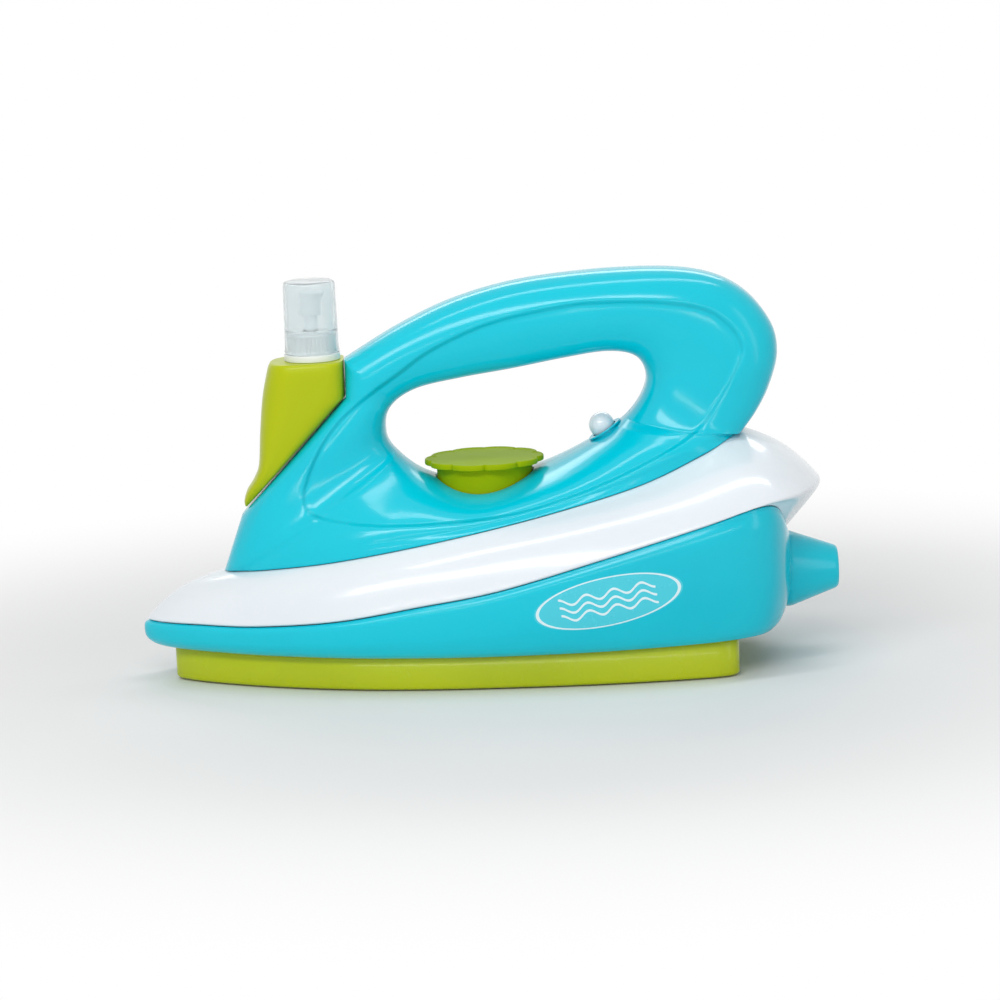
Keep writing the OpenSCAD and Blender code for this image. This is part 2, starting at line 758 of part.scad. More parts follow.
// Dial: petal disc on a drum that turns on the chassis post
post_top_z = opening_z - 10.5;
petal_notch = 1.5;
dial_flange_r = drum_r + 2.2;
module petal_disc(h) {
  linear_extrude(h)
    polygon([
      for (a = [0 : 3 : 357])
        (dial_r - petal_notch * (1 - sqrt(abs(cos(a * petals / 2))))) * [cos(a), sin(a)]
    ]);
}
module dial() {
  hub_r = pin_r + 2;
  color(lime)
    translate([dial_x, 0, 0])
      difference() {
        union() {
          translate([0, 0, dial_floor_z]) petal_disc(dial_t);
          translate([0, 0, post_top_z + slide_gap])
            tube(drum_r, drum_r - 1.6, dial_floor_z - post_top_z - slide_gap);
          translate([0, 0, post_top_z + slide_gap]) tube(dial_flange_r, drum_r - 1, 1.5);
          translate([0, 0, post_top_z + slide_gap])
            cylinder(r = hub_r, h = dial_floor_z - post_top_z - slide_gap);
        }
        translate([0, 0, post_top_z - 1]) cylinder(r = pin_r + slide_gap / 2, h = 13);
      }
}

// Ball button in its cartridge; local z runs along the button's axis, 0 at the floor
ball_rise = ball_r * 0.62;
web_top = ball_rise - ball_r - button_stroke - 0.4;
web_t = 1.2;
button_stem_r = 2.4;
button_flange_t = 1.3;
module button_body() {
  color(turquoise)
    at_button()
      difference() {
        union() {
          translate([0, 0, -button_len]) cylinder(r = button_r, h = button_len + 0.6);
          translate([0, 0, 0.4]) cylinder(r = button_r + 0.6, h = 0.6);
          for (side = [-2, 2])
            translate([side - 0.4, -1, -button_len - 4]) cube([0.8, 2, 4.5]);
        }
        translate([0, 0, web_top]) cylinder(r = ball_r + slide_gap, h = button_len);
        translate([0, 0, 1.4 - button_len])
          cylinder(r = ball_r - 0.2, h = button_len - 1.4 + web_top - web_t);
        translate([0, 0, -button_len / 2]) cylinder(r = button_stem_r + slide_gap, h = button_len);
      }
}
stem_bottom = web_top - web_t - slide_gap - button_flange_t;
module ball_button() {
  color(white)
    at_button() {
      translate([0, 0, ball_rise]) sphere(r = ball_r);
      translate([0, 0, stem_bottom]) cylinder(r = button_stem_r, h = ball_rise - stem_bottom);
      translate([0, 0, stem_bottom]) cylinder(r = ball_r - 0.5, h = button_flange_t);
    }
}
module button_spring() {
  spring_floor = 1.4 - button_len;
  color(steel)
    at_button()
      translate([0, 0, spring_floor])
        coil_spring(ball_r - 1.2, 0.35, stem_bottom - spring_floor, 4.5);
}

// Sole: tray inside the base's rim, rising with the press
sole_end_x = heel_x - sole_short;
corner_soft = 2.5;
function soft_end(x) = sole_end_x - corner_soft * ln(1 + exp((sole_end_x - x) / corner_soft));
sole_loop = [for (p = side_loop(rim_inner + sole_gap, 0)) [soft_end(p[0]), p[1], 0]];
sole_front_x = nose_x + 48;
sole_rear_x = heel_x - 28;
sole_screw_at = [
  [sole_front_x, plan_half(sole_front_x, sole_inner) * 0.5],
  [sole_rear_x, plan_half(sole_rear_x, sole_inner) * 0.75]
];
sole_boss_r = 4.2;
shank_head_r = 2.8;
switch_x = sole_front_x;
shoulder_r = 1.5;
sole_head_h = 2;
bore_z = sole_head_h + sole_stroke + 0.3;
sole_boss_top = bore_z + 2.4;
chassis_boss_z = sole_boss_top + sole_stroke + 0.4;
spring_r = sole_boss_r + 1.1;
plate_z = chassis_z - chassis_t;
box_place = 0.574;
box_x = nose_x + base_l * box_place;
box_l = cell_l + 3;
box_w = 4 * cell_r + 1.6;
box_floor_z = 7;
cell_z = box_floor_z + cell_r + 0.4;
box_roof_z = cell_z + cell_r + 0.4;
door_gap = 0.2;
door_t = 1.5;
door_tab = 9;
window_gap = 1.4;
module each_sole_screw() {
  for (p = sole_screw_at, side = [-1, 1]) translate([p[0], side * p[1], 0]) children();
}
module box_plan(grow, z, h) {
  translate([box_x - box_l / 2 - grow, -box_w / 2 - grow, z])
    cube([box_l + 2 * grow + (grow > box_wall ? door_tab : 0), box_w + 2 * grow, h]);
}
module sole_plate() {
  pad_h = plate_z - sole_stroke - 3.6 - sole_t;
  color(lime)
    difference() {
      union() {
        loft([
          at_z(inset(sole_loop, 1.2), 0),
          at_z(sole_loop, 1.2),
          at_z(sole_loop, sole_h),
          at_z(inset(sole_loop, sole_wall), sole_h),
          at_z(inset(sole_loop, sole_wall), sole_t)
        ]);
        each_sole_screw() cylinder(r = sole_boss_r, h = sole_boss_top);
        translate([switch_x, 0, sole_t - 0.5]) cylinder(r = 3, h = pad_h + 0.5);
      }
      each_sole_screw() {
        translate([0, 0, -1]) cylinder(r = shank_head_r + 0.3, h = bore_z + 1);
        cylinder(r = shoulder_r + slide_gap / 2, h = 20);
      }
      box_plan(box_wall + window_gap, -1, sole_h + 2);
    }
}

module sole_screws() {
  color(steel)
    each_sole_screw()
      translate([0, 0, bore_z - slide_gap / 2])
        screw(shank_head_r, sole_head_h, shoulder_r, chassis_z - bore_z - 0.6);
}
module sole_springs() {
  color(steel)
    each_sole_screw()
      translate([0, 0, sole_t]) coil_spring(spring_r, 0.4, plate_z - sole_t, 5);
}
module sole_switch() {
  color([0.15, 0.15, 0.17])
    translate([switch_x, 0, plate_z]) mirror([0, 0, 1]) {
      translate([-3, -3, 0]) cube([6, 6, 2.4]);
      translate([0, 0, 2.3]) cylinder(r = 1.7, h = 1);
    }
}

// Chassis: plate under the ledge, with the battery box, bosses and the dial's post
board_rise = 5;
board_l = 32;
board_w = 26;
board_x = box_x - box_l / 2 - box_wall - 2 - board_l / 2;
board_t = 1.6;
board_margin = 4;
board_z = chassis_z + board_rise;
board_screw_at = [
  for (sx = [-1, 1], sy = [-1, 1])
    [board_x + sx * (board_l / 2 - board_margin), sy * (board_w / 2 - board_margin)]
];
speaker_x = heel_x - 26;
// The base's inner face at the plate's underside, with some play
chassis_gap = mix(inner_gap, rim_inner, (ledge_z - plate_z) / (ledge_z - rim_z)) + 0.3;
door_boss_x = box_x + box_l / 2 + box_wall + door_tab / 2;
module each_board_screw(z) {
  for (p = board_screw_at) translate([p[0], p[1], z]) children();
}
module chassis() {
  plan = side_loop(chassis_gap, 0);
  color([0.2, 0.62, 0.68])
    difference() {
      union() {
        translate([0, 0, plate_z]) linear_extrude(chassis_t) polygon([for (p = plan) [p[0], p[1]]]);
        box_plan(box_wall, box_floor_z, box_roof_z + box_wall - box_floor_z);
        translate([door_boss_x, 0, box_floor_z]) cylinder(r = 3.4, h = chassis_z - box_floor_z);
        each_sole_screw()
          translate([0, 0, chassis_boss_z]) cylinder(r = 3.6, h = chassis_z - chassis_boss_z);
        translate([dial_x, 0, chassis_z - 1]) cylinder(r = pin_r + 2.5, h = post_top_z - chassis_z + 1);
        translate([dial_x, 0, chassis_z]) cylinder(r = pin_r, h = post_top_z + 11 - chassis_z);
        each_board_screw(chassis_z - 1) cylinder(r = 2.6, h = board_rise + 1);
      }
      box_plan(0, box_floor_z - 1, box_roof_z - box_floor_z + 1);
      translate([door_boss_x, 0, box_floor_z - 1]) cylinder(r = pilot_r, h = pilot_depth + 1);
      each_sole_screw() translate([0, 0, chassis_boss_z - 1]) cylinder(r = shoulder_r, h = 20);
      each_chassis_screw() translate([0, 0, -5]) cylinder(r = shank_r + slide_gap, h = 10);
      each_board_screw(chassis_z) cylinder(r = 0.9, h = board_rise + 1);
      translate([heel_x - 10, 0, bush_z]) rotate([0, 90, 0]) cylinder(r = bush_flange_r + 0.4, h = 20);
      for (a = [0 : 60 : 300])
        translate([speaker_x, 0, 0]) rotate([0, 0, a])
          translate([speaker_r * 0.5, 0, 0]) cylinder(r = 1.5, h = 30);
    }
}
module chassis_screws() {
  color(steel)
    each_chassis_screw() translate([0, 0, -chassis_t])
      screw(head_r, head_h, pilot_r, chassis_t + pilot_depth - 1);
}
module circuit_board() {
  color([0.1, 0.4, 0.2])
    difference() {
      translate([board_x - board_l / 2, -board_w / 2, board_z]) cube([board_l, board_w, board_t]);
      each_board_screw(0) cylinder(r = 1.1, h = 60);
    }
}
module board_screws() {
  color(steel)
    each_board_screw(board_z + board_t) mirror([0, 0, 1]) screw(1.8, 1.2, 0.9, board_rise);
}
module sound_chip() {
  color([0.08, 0.08, 0.09])
    translate([board_x - 6, 0, board_z + board_t]) intersection() {
      translate([0, 0, -6]) sphere(r = 7.5);
      cylinder(r = 6, h = 4);
    }
}
module leds() {
  lamp_x = board_x + board_l / 2 - board_margin - 5;
  lamp_y = 3.6;
  color([0.95, 0.3, 0.2])
    for (side = [-1, 1])
      translate([lamp_x, side * lamp_y, board_z + board_t]) {
        cylinder(r = 2.9, h = 1);
        cylinder(r = 2.5, h = 4);
        translate([0, 0, 4]) sphere(r = 2.5);
      }
}
module speaker_frame() {
  color([0.25, 0.25, 0.27])
    translate([speaker_x, 0, chassis_z])
      rotate_extrude()
        polygon([
          [speaker_r - 1.5, 0], [speaker_r, 0], [speaker_r, 1.5], [speaker_r - 3, 4.5], [7.2, 4.5],
          [7.2, 3.7], [speaker_r - 3.3, 3.7], [speaker_r - 1.5, 1.2]
        ]);
}
module speaker_cone() {
  color([0.12, 0.12, 0.13])
    translate([speaker_x, 0, chassis_z])
      rotate_extrude()
        polygon([
          [0, 3.3], [4, 3.3], [speaker_r - 2, 0.5], [speaker_r - 1.5, 0.5], [speaker_r - 1.5, 0.9],
          [speaker_r - 2, 0.9], [4.2, 3.7], [0, 3.7]
        ]);
}
module speaker_magnet() {
  color(steel)
    translate([speaker_x, 0, chassis_z + 3.7]) cylinder(r = 7.2, h = 5);
}

// Battery pack
contact_t = 0.4;
module each_cell() {
  for (side = [-1, 1])
    translate([box_x, side * (cell_r + 0.4), cell_z]) rotate([0, 0, side * 90]) children();
}
module battery_cells() {
  color([0.75, 0.6, 0.2])
    each_cell() rotate([90, 0, 0]) translate([0, 0, -cell_l / 2]) {
      cylinder(r = cell_r, h = cell_l - 1.5);
      cylinder(r = 2.75, h = cell_l);
    }
}
module battery_contacts() {
  color(steel)
    each_cell() {
      translate([-5, -box_l / 2, -5]) cube([10, contact_t, 10]);
      translate([-5, box_l / 2 - contact_t, -5]) cube([10, contact_t, 10]);
      translate([0, box_l / 2 - contact_t, 0]) rotate([90, 0, 0])
        coil_spring(3, 0.3, box_l / 2 - contact_t - cell_l / 2, 2);
      translate([0, contact_t - box_l / 2, 0]) rotate([-90, 0, 0])
        cylinder(r = 2, h = box_l / 2 - contact_t - cell_l / 2);
    }
}
module battery_door() {
  color(lime)
    difference() {
      translate([0, 0, box_floor_z - door_gap - door_t])
        linear_extrude(door_t)
          translate([box_x - box_l / 2 - box_wall, -box_w / 2 - box_wall])
            square([box_l + 2 * box_wall + door_tab - 0.4, box_w + 2 * box_wall]);
      translate([door_boss_x, 0, 0]) cylinder(r = shank_r + slide_gap, h = 30);
    }
}
module door_screw() {
  color(steel)
    translate([door_boss_x, 0, box_floor_z - door_gap - door_t]) screw(head_r, 1.4, pilot_r, pilot_depth);
}

handle_left();
handle_right();
skirt();
base_shell();
sole_plate();
cord_bush();
bottle();
spray_collar();
collar_gasket();
pump_body();
dip_tube();
pump_stem();
pump_spring();
actuator();
nozzle();
cap();
dial();
ball_button();
button_body();
button_spring();
chassis();
sole_springs();
sole_screws();
sole_switch();
circuit_board();
sound_chip();
leds();
board_screws();
speaker_frame();
speaker_cone();
speaker_magnet();
battery_cells();
battery_contacts();
battery_door();
door_screw();
handle_screws();
chassis_screws();
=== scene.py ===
"""Dresses the toy iron: glossy shells, a floating sole, a mist sprayer, a petal dial and a ball button.

Sizes are in millimetres and follow the solids; meshes are written in metres.
"""

import logging
import math
from dataclasses import dataclass
from enum import Enum
from typing import Callable, Optional, Sequence, Union

import bmesh
import bpy
import numpy as np
from mathutils import Matrix, Vector
from mathutils.bvhtree import BVHTree


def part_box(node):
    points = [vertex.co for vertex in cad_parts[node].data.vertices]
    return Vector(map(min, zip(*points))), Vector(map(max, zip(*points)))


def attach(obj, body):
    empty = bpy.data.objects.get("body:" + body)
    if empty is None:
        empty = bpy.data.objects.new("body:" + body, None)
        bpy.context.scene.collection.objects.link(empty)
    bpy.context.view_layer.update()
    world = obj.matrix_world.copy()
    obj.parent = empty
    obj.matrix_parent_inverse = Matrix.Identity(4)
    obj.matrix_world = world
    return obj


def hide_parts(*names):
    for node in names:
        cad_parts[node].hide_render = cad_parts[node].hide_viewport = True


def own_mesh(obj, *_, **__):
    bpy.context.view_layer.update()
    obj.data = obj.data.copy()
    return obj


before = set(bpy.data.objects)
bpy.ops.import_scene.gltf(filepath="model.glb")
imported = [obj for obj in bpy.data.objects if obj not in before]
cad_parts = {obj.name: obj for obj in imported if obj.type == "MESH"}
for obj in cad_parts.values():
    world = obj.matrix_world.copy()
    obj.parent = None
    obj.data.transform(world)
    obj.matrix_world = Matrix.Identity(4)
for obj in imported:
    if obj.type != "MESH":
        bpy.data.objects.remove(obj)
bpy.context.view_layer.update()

log = logging.getLogger("toy_iron")
MM = 0.001
SHELL_SHARP = 50.0
FINE_STEPS = 96
COARSE_STEPS = 40
COPY_SHARP = 35.0
CORNER_ANGLE = 50.0
FLAT_ANGLE = 1.0
WELD_GAP = 2e-6
Row = tuple[float, ...]
Profile = Sequence[tuple[float, float]]


class Side(Enum):
    """The two halves of the handle, by the sign of Y."""

    NEAR = -1
    FAR = 1


class Stretch(Enum):
    """The stretches of the handle's outer edge, in order."""

    FOOT = 0
    FRONT = 1
    STEP = 2
    ARCH = 3
    SEAT = 4


# Curves through points


def blend(a: Row, b: Row, f: float) -> Row:
    """Value between two rows at share f."""
    return tuple(p + (q - p) * f for p, q in zip(a, b))


def mix(a: float, b: float, f: float) -> float:
    """Number between two numbers at share f."""
    return a + (b - a) * f


def eased(t: float) -> float:
    """Share of the way at time t, slow at both ends."""
    return (1 - math.cos(math.pi * t)) / 2


def limited(value: float) -> float:
    """Value held between 0 and 1."""
    return min(1.0, max(0.0, value))


def spline(a: Row, b: Row, c: Row, d: Row, t: float) -> Row:
    """Point between b and c of a smooth curve through four rows.

    Args:
        a: Row before the span.
        b: Row where the span starts.
        c: Row where the span ends.
        d: Row after the span.
        t: Share of the span.

    Returns:
        The row at that share.
    """
    return tuple(
        q + 0.5 * t * ((r - p) + t * (2 * p - 5 * q + 4 * r - s + t * (3 * (q - r) + s - p)))
        for p, q, r, s in zip(a, b, c, d)
    )


def flipped(row: Row) -> Row:
    """Row with its second value, the half width, turned round."""
    return (row[0], -row[1], *row[2:])


@dataclass(frozen=True)
class Track:
    """A smooth curve through rows of numbers."""

    rows: tuple[Row, ...]

    @property
    def last(self) -> int:
        """Index of the last row."""
        return len(self.rows) - 1

    def _held(self, k: int) -> Row:
        """Row k, held at either end."""
        return self.rows[min(max(k, 0), self.last)]

    def _wrapped(self, k: int) -> Row:
        """Row k, counted on round the curve."""
        return self.rows[k % len(self.rows)]

    def _mirrored(self, k: int) -> Row:
        """Row k, taken from the mirror image past either end.

        Args:
            k: Index of the row.

        Returns:
            The row.
        """
        if 0 <= k <= self.last:
            return self.rows[k]
        return flipped(self.rows[-k if k < 0 else 2 * self.last - k])

    def _through(self, i: int, u: float, pick: Callable[[int], Row]) -> Row:
        """Row at place u of the span that starts at row i."""
        return spline(pick(i - 1), pick(i), pick(i + 1), pick(i + 2), u - i)

    def along(self, u: float) -> Row:
        """Row at place u of an open curve."""
        return self._through(min(int(u), self.last - 1), u, self._held)

    def around(self, u: float) -> Row:
        """Row at place u of a closed curve."""
        return self._through(math.floor(u), u, self._wrapped)

    def half(self, u: float) -> Row:
        """Row at place u of a curve whose other half is its mirror image in Y."""
        return self._through(min(int(u), self.last - 1), u, self._mirrored)

    def ring(self, count: int) -> list[Row]:
        """Closed ring from the far half, nose first.

        Args:
            count: Rows on each half.

        Returns:
            The ring, with twice as many rows.
        """
        rows: list[Row] = []
        for j in range(2 * count):
            row = self.half(self.last * (j if j <= count else 2 * count - j) / count)
            rows.append(row if j <= count else flipped(row))
        return rows


# Rings and meshes


def inset(ring: Sequence[Row], gap: float) -> list[Row]:
    """Ring moved inwards in plan by a gap.

    Args:
        ring: Rows of x, y, z.
        gap: Distance, negative to move outwards.

    Returns:
        The moved ring.
    """
    moved: list[Row] = []
    for j, row in enumerate(ring):
        ahead, behind = ring[(j + 1) % len(ring)], ring[j - 1]
        tx, ty = ahead[0] - behind[0], ahead[1] - behind[1]
        size = math.hypot(tx, ty) or 1.0
        moved.append((row[0] + gap * ty / size, row[1] - gap * tx / size, row[2]))
    return moved


def inset_to(ring: Sequence[Row], x: float, share: float) -> list[Row]:
    """Ring shrunk in plan towards a place on the mid-plane."""
    return [(mix(x, row[0], share), row[1] * share, row[2]) for row in ring]


def lifted(ring: Sequence[Row], rise: float) -> list[Row]:
    """Ring raised by a height."""
    return [(row[0], row[1], row[2] + rise) for row in ring]


def levelled(ring: Sequence[Row], z: float) -> list[Row]:
    """Ring with every row at one height."""
    return [(row[0], row[1], z) for row in ring]


def between(a: Sequence[Row], b: Sequence[Row], f: float) -> list[Row]:
    """Ring between two rings at share f."""
    return [blend(p, q, f) for p, q in zip(a, b)]


def level_ring(x: float, z: float, radii: Sequence[float], way: float = 1.0) -> list[Row]:
    """Level ring round an upright axis on the mid-plane.

    Args:
        x: Place of the axis.
        z: Height.
        radii: Radius of each row.
        way: 1 to start behind the axis, -1 to start in front of it.

    Returns:
        The closed ring.
    """
    angles = [2 * math.pi * j / len(radii) for j in range(len(radii))]
    return [(x + way * r * math.cos(a), r * math.sin(a), z) for r, a in zip(radii, angles)]


def curved(a: Sequence[Row], corner: Sequence[Row], b: Sequence[Row], cuts: int = 5) -> list[list[Row]]:
    """Rings on a soft turn from one ring to another.

    Args:
        a: First ring.
        corner: Ring that the turn bends towards.
        b: Last ring.
        cuts: Steps of the turn.

    Returns:
        The rings, both ends with them.
    """
    shares = [k / cuts for k in range(cuts + 1)]
    return [between(between(a, corner, t), between(corner, b, t), t) for t in shares]


def add_loft(mesh: bmesh.types.BMesh, rings: Sequence[Sequence[Row]], closed: bool = False,
             first: bool = False, last: bool = False) -> None:
    """Extrudes a ring of edges through stacked rings into a skin.

    Args:
        mesh: Mesh that takes the skin.
        rings: Rings of x, y, z in millimetres with the same number of rows.
        closed: Whether the last ring joins the first.
        first: Whether the first ring is filled.
        last: Whether the last ring is filled.
    """
    verts = [mesh.verts.new(Vector(row[:3]) * MM) for row in rings[0]]
    edges = [mesh.edges.new((verts[j - 1], verts[j])) for j in range(len(verts))]
    start, start_edges = verts, edges
    for ring in [*rings[1:], *([rings[0]] if closed else [])]:
        fresh = set(bmesh.ops.extrude_edge_only(mesh, edges=edges)["geom"])
        verts = [next(e.other_vert(v) for e in v.link_edges if e.other_vert(v) in fresh) for v in verts]
        edges = [mesh.edges.get((verts[j - 1], verts[j])) for j in range(len(verts))]
        for vert, row in zip(verts, ring):
            vert.co = Vector(row[:3]) * MM
    if closed:
        bmesh.ops.weld_verts(mesh, targetmap=dict(zip(verts, start)))
    for loop, wanted in ((start_edges, first), (edges, last)):
        if wanted:
            bmesh.ops.contextual_create(mesh, geom=loop)


def add_turned(mesh: bmesh.types.BMesh, profile: Profile, steps: int,
               place: Matrix = Matrix()) -> None:
    """Spins a profile of radius and height round Z, then moves it to its place.

    Args:
        mesh: Mesh that takes the turned body.
        profile: Radius and height of each point in millimetres.
        steps: Steps of the full turn.
        place: Matrix in metres that puts the body where it belongs.
    """
    verts = [mesh.verts.new((r * MM, 0.0, z * MM)) for r, z in profile]
    edges = [mesh.edges.new(pair) for pair in zip(verts, verts[1:])]
    bmesh.ops.spin(mesh, geom=verts + edges, cent=(0, 0, 0), axis=(0, 0, 1), angle=2 * math.pi, steps=steps,
                   use_merge=True)
    bmesh.ops.remove_doubles(mesh, verts=mesh.verts[:], dist=1e-6)
    bmesh.ops.transform(mesh, matrix=place, verts=mesh.verts[:])


def add_placed(mesh: bmesh.types.BMesh, profile: Profile, steps: int, place: Matrix) -> None:
    """Adds a turned body to a mesh that already holds others.

    Args:
        mesh: Mesh that takes the turned body.
        profile: Radius and height of each point in millimetres.
        steps: Steps of the full turn.
        place: Matrix in metres that puts the body where it belongs.
    """
    body = bmesh.new()
    add_turned(body, profile, steps, place)
    data = bpy.data.meshes.new("turned")
    body.to_mesh(data)
    body.free()
    mesh.from_mesh(data)
    bpy.data.meshes.remove(data)


def rounded(profile: Profile, radius: float, cuts: int = 4) -> list[tuple[float, float]]:
    """Profile with its inner corners rounded.

    Args:
        profile: Points of the profile.
        radius: Radius of the rounding, limited by the sides next to a corner.
        cuts: Points on each rounding.

    Returns:
        The rounded profile.
    """
    made = [profile[0]]
    for before, corner, after in zip(profile, profile[1:], profile[2:]):
        p, c, n = Vector(before), Vector(corner), Vector(after)
        reach = min(radius, (p - c).length * 0.45, (n - c).length * 0.45)
        start, end = c + (p - c).normalized() * reach, c + (n - c).normalized() * reach
        for k in range(cuts + 1):
            t = k / cuts
            point = start * (1 - t) ** 2 + c * 2 * t * (1 - t) + end * t ** 2
            made.append((point.x, point.y))
    made.append(profile[-1])
    return made


def shade(mesh: bmesh.types.BMesh, sharp: float) -> None:
    """Makes the faces smooth and keeps edges sharp past an angle.

    Args:
        mesh: Mesh to shade.
        sharp: Angle in degrees.
    """
    limit = math.radians(sharp)
    for face in mesh.faces:
        face.smooth = True
    for edge in mesh.edges:
        edge.smooth = not (len(edge.link_faces) == 2 and edge.calc_face_angle(0.0) > limit)


def finish_mesh(
    mesh: bmesh.types.BMesh, name: str, sharp: float = 40.0, turn: bool = True,
) -> bpy.types.Object:
    """Turns a mesh into an object with smooth faces and sharp edges by angle.

    Args:
        mesh: Mesh to use up.
        name: Name of the piece.
        sharp: Angle in degrees past which an edge stays sharp.
        turn: Whether the normals are worked out again.

    Returns:
        The new object, linked to the scene.
    """
    if turn:
        bmesh.ops.recalc_face_normals(mesh, faces=mesh.faces[:])
    shade(mesh, sharp)
    data = bpy.data.meshes.new(name)
    mesh.to_mesh(data)
    mesh.free()
    made = bpy.data.objects.new(name, data)
    bpy.context.scene.collection.objects.link(made)
    return made


def add_cylinder(mesh: bmesh.types.BMesh, radius: float, start: Row, end: Row, segments: int = 48) -> None:
    """Adds a closed cylinder between two points.

    Args:
        mesh: Mesh that takes the cylinder.
        radius: Radius in millimetres.
        start: Centre of one end in millimetres.
        end: Centre of the other end in millimetres.
        segments: Sides of the cylinder.
    """
    a, b = Vector(start) * MM, Vector(end) * MM
    turn = (b - a).to_track_quat("Z", "Y").to_matrix().to_4x4()
    bmesh.ops.create_cone(mesh, cap_ends=True, segments=segments, radius1=radius * MM, radius2=radius * MM,
                          depth=(b - a).length, matrix=Matrix.Translation((a + b) / 2) @ turn)


def add_block(mesh: bmesh.types.BMesh, low: Row, high: Row) -> None:
    """Adds a closed block.

    Args:
        mesh: Mesh that takes the block.
        low: Lowest corner in millimetres.
        high: Highest corner in millimetres.
    """
    size = [(h - l) * MM for l, h in zip(low, high)]
    middle = [(h + l) / 2 * MM for l, h in zip(low, high)]
    bmesh.ops.create_cube(mesh, size=1.0, matrix=Matrix.Translation(middle) @ Matrix.Diagonal((*size, 1.0)))


def carve(piece: bpy.types.Object, cutter: bmesh.types.BMesh, sharp: float = SHELL_SHARP) -> None:
    """Cuts a closed shape out of a piece.

    Args:
        piece: Piece to cut.
        cutter: Closed shape, used up.
        sharp: Angle in degrees past which an edge stays sharp.
    """
    tool = finish_mesh(cutter, piece.name + "_cut")
    cut = piece.modifiers.new("cut", "BOOLEAN")
    cut.operation, cut.solver, cut.object = "DIFFERENCE", "EXACT", tool
    made = bpy.data.meshes.new_from_object(piece.evaluated_get(bpy.context.evaluated_depsgraph_get()))
    piece.modifiers.remove(cut)
    old, piece.data = piece.data, made
    made.name = piece.name
    bpy.data.meshes.remove(old)
    bpy.data.meshes.remove(tool.data)
    mesh = bmesh.new()
    mesh.from_mesh(made)
    shade(mesh, sharp)
    mesh.to_mesh(made)
    mesh.free()


def copied(node: str, name: str, edge_width: float = 0.0) -> bpy.types.Object:
    """Merged copy of a CAD node with joined flat faces and, if asked, rounded edges.

    Args:
        node: CAD node to copy.
        name: Name of the new piece.
        edge_width: Width of the rounded edges in millimetres.

    Returns:
        The new piece.
    """
    mesh = bmesh.new()
    mesh.from_mesh(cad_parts[node].data)
    bmesh.ops.remove_doubles(mesh, verts=mesh.verts[:], dist=WELD_GAP)
    bmesh.ops.dissolve_limit(mesh, angle_limit=math.radians(FLAT_ANGLE), verts=mesh.verts[:],
                             edges=mesh.edges[:])
    if edge_width:
        corners = [
            e for e in mesh.edges
            if len(e.link_faces) == 2 and e.calc_face_angle(0.0) > math.radians(CORNER_ANGLE)
        ]
        bmesh.ops.bevel(mesh, geom=corners, offset=edge_width * MM, offset_type="OFFSET", affect="EDGES",
                        segments=2, profile=0.5, material=-1, clamp_overlap=True)
    piece = finish_mesh(mesh, name, COPY_SHARP, turn=False)
    if edge_width:
        piece.modifiers.new("even_faces", "WEIGHTED_NORMAL").keep_sharp = True
    return piece


def painted(piece: bpy.types.Object, paint: bpy.types.Material) -> None:
    """Puts one material on a piece in place of what it had."""
    piece.data.materials.clear()
    piece.data.materials.append(paint)


def settle(piece: bpy.types.Object, body: str, nodes: Sequence[str],
           paint: bpy.types.Material) -> bpy.types.Object:
    """Gives a piece its finish, body and material slot, and hides the CAD nodes that it stands for.

    Args:
        piece: Finished piece.
        body: CAD body that carries it.
        nodes: CAD nodes that it replaces.
        paint: Material to put on.

    Returns:
        The same piece.
    """
    painted(piece, paint)
    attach(piece, body)
    if nodes:
        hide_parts(*nodes)
    log.info("piece %s on %s: %d faces", piece.name, body, len(piece.data.polygons))
    return piece


# Materials


class Wire:
    """A socket inside a material, with arithmetic that adds Math nodes."""

    def __init__(self, paint: "Paint", socket: bpy.types.NodeSocket) -> None:
        """Keeps the socket and the material that it belongs to."""
        self.paint = paint
        self.socket = socket

    def _math(self, operation: str, first: "Value", second: "Value") -> "Wire":
        """Adds a Math node on two values."""
        return self.paint.node("ShaderNodeMath", {"operation": operation}, {0: first, 1: second})

    def __add__(self, other: "Value") -> "Wire":
        """Sum."""
        return self._math("ADD", self, other)

    def __radd__(self, other: "Value") -> "Wire":
        """Sum with the number first."""
        return self._math("ADD", other, self)

    def __sub__(self, other: "Value") -> "Wire":
        """Difference."""
        return self._math("SUBTRACT", self, other)

    def __rsub__(self, other: "Value") -> "Wire":
        """Difference with the number first."""
        return self._math("SUBTRACT", other, self)

    def __mul__(self, other: "Value") -> "Wire":
        """Product."""
        return self._math("MULTIPLY", self, other)

    def __rmul__(self, other: "Value") -> "Wire":
        """Product with the number first."""
        return self._math("MULTIPLY", other, self)

    def __truediv__(self, other: "Value") -> "Wire":
        """Quotient."""
        return self._math("DIVIDE", self, other)

    def __abs__(self) -> "Wire":
        """Size without its sign."""
        return self._math("ABSOLUTE", self, 0.0)

    def step(self, low: float, high: float) -> "Wire":
        """Smooth rise from 0 at low to 1 at high."""
        return self.paint.node("ShaderNodeMapRange", {"interpolation_type": "SMOOTHSTEP"},
                               {"Value": self, "From Min": low, "From Max": high})


Value = Union[float, int, Wire]
Colour = tuple[float, float, float]


def linear(red: int, green: int, blue: int) -> Colour:
    """Linear colour of a display colour in steps of 0 to 255."""
    shares = [c / 255 for c in (red, green, blue)]
    return tuple(c / 12.92 if c <= 0.04045 else ((c + 0.055) / 1.055) ** 2.4 for c in shares)


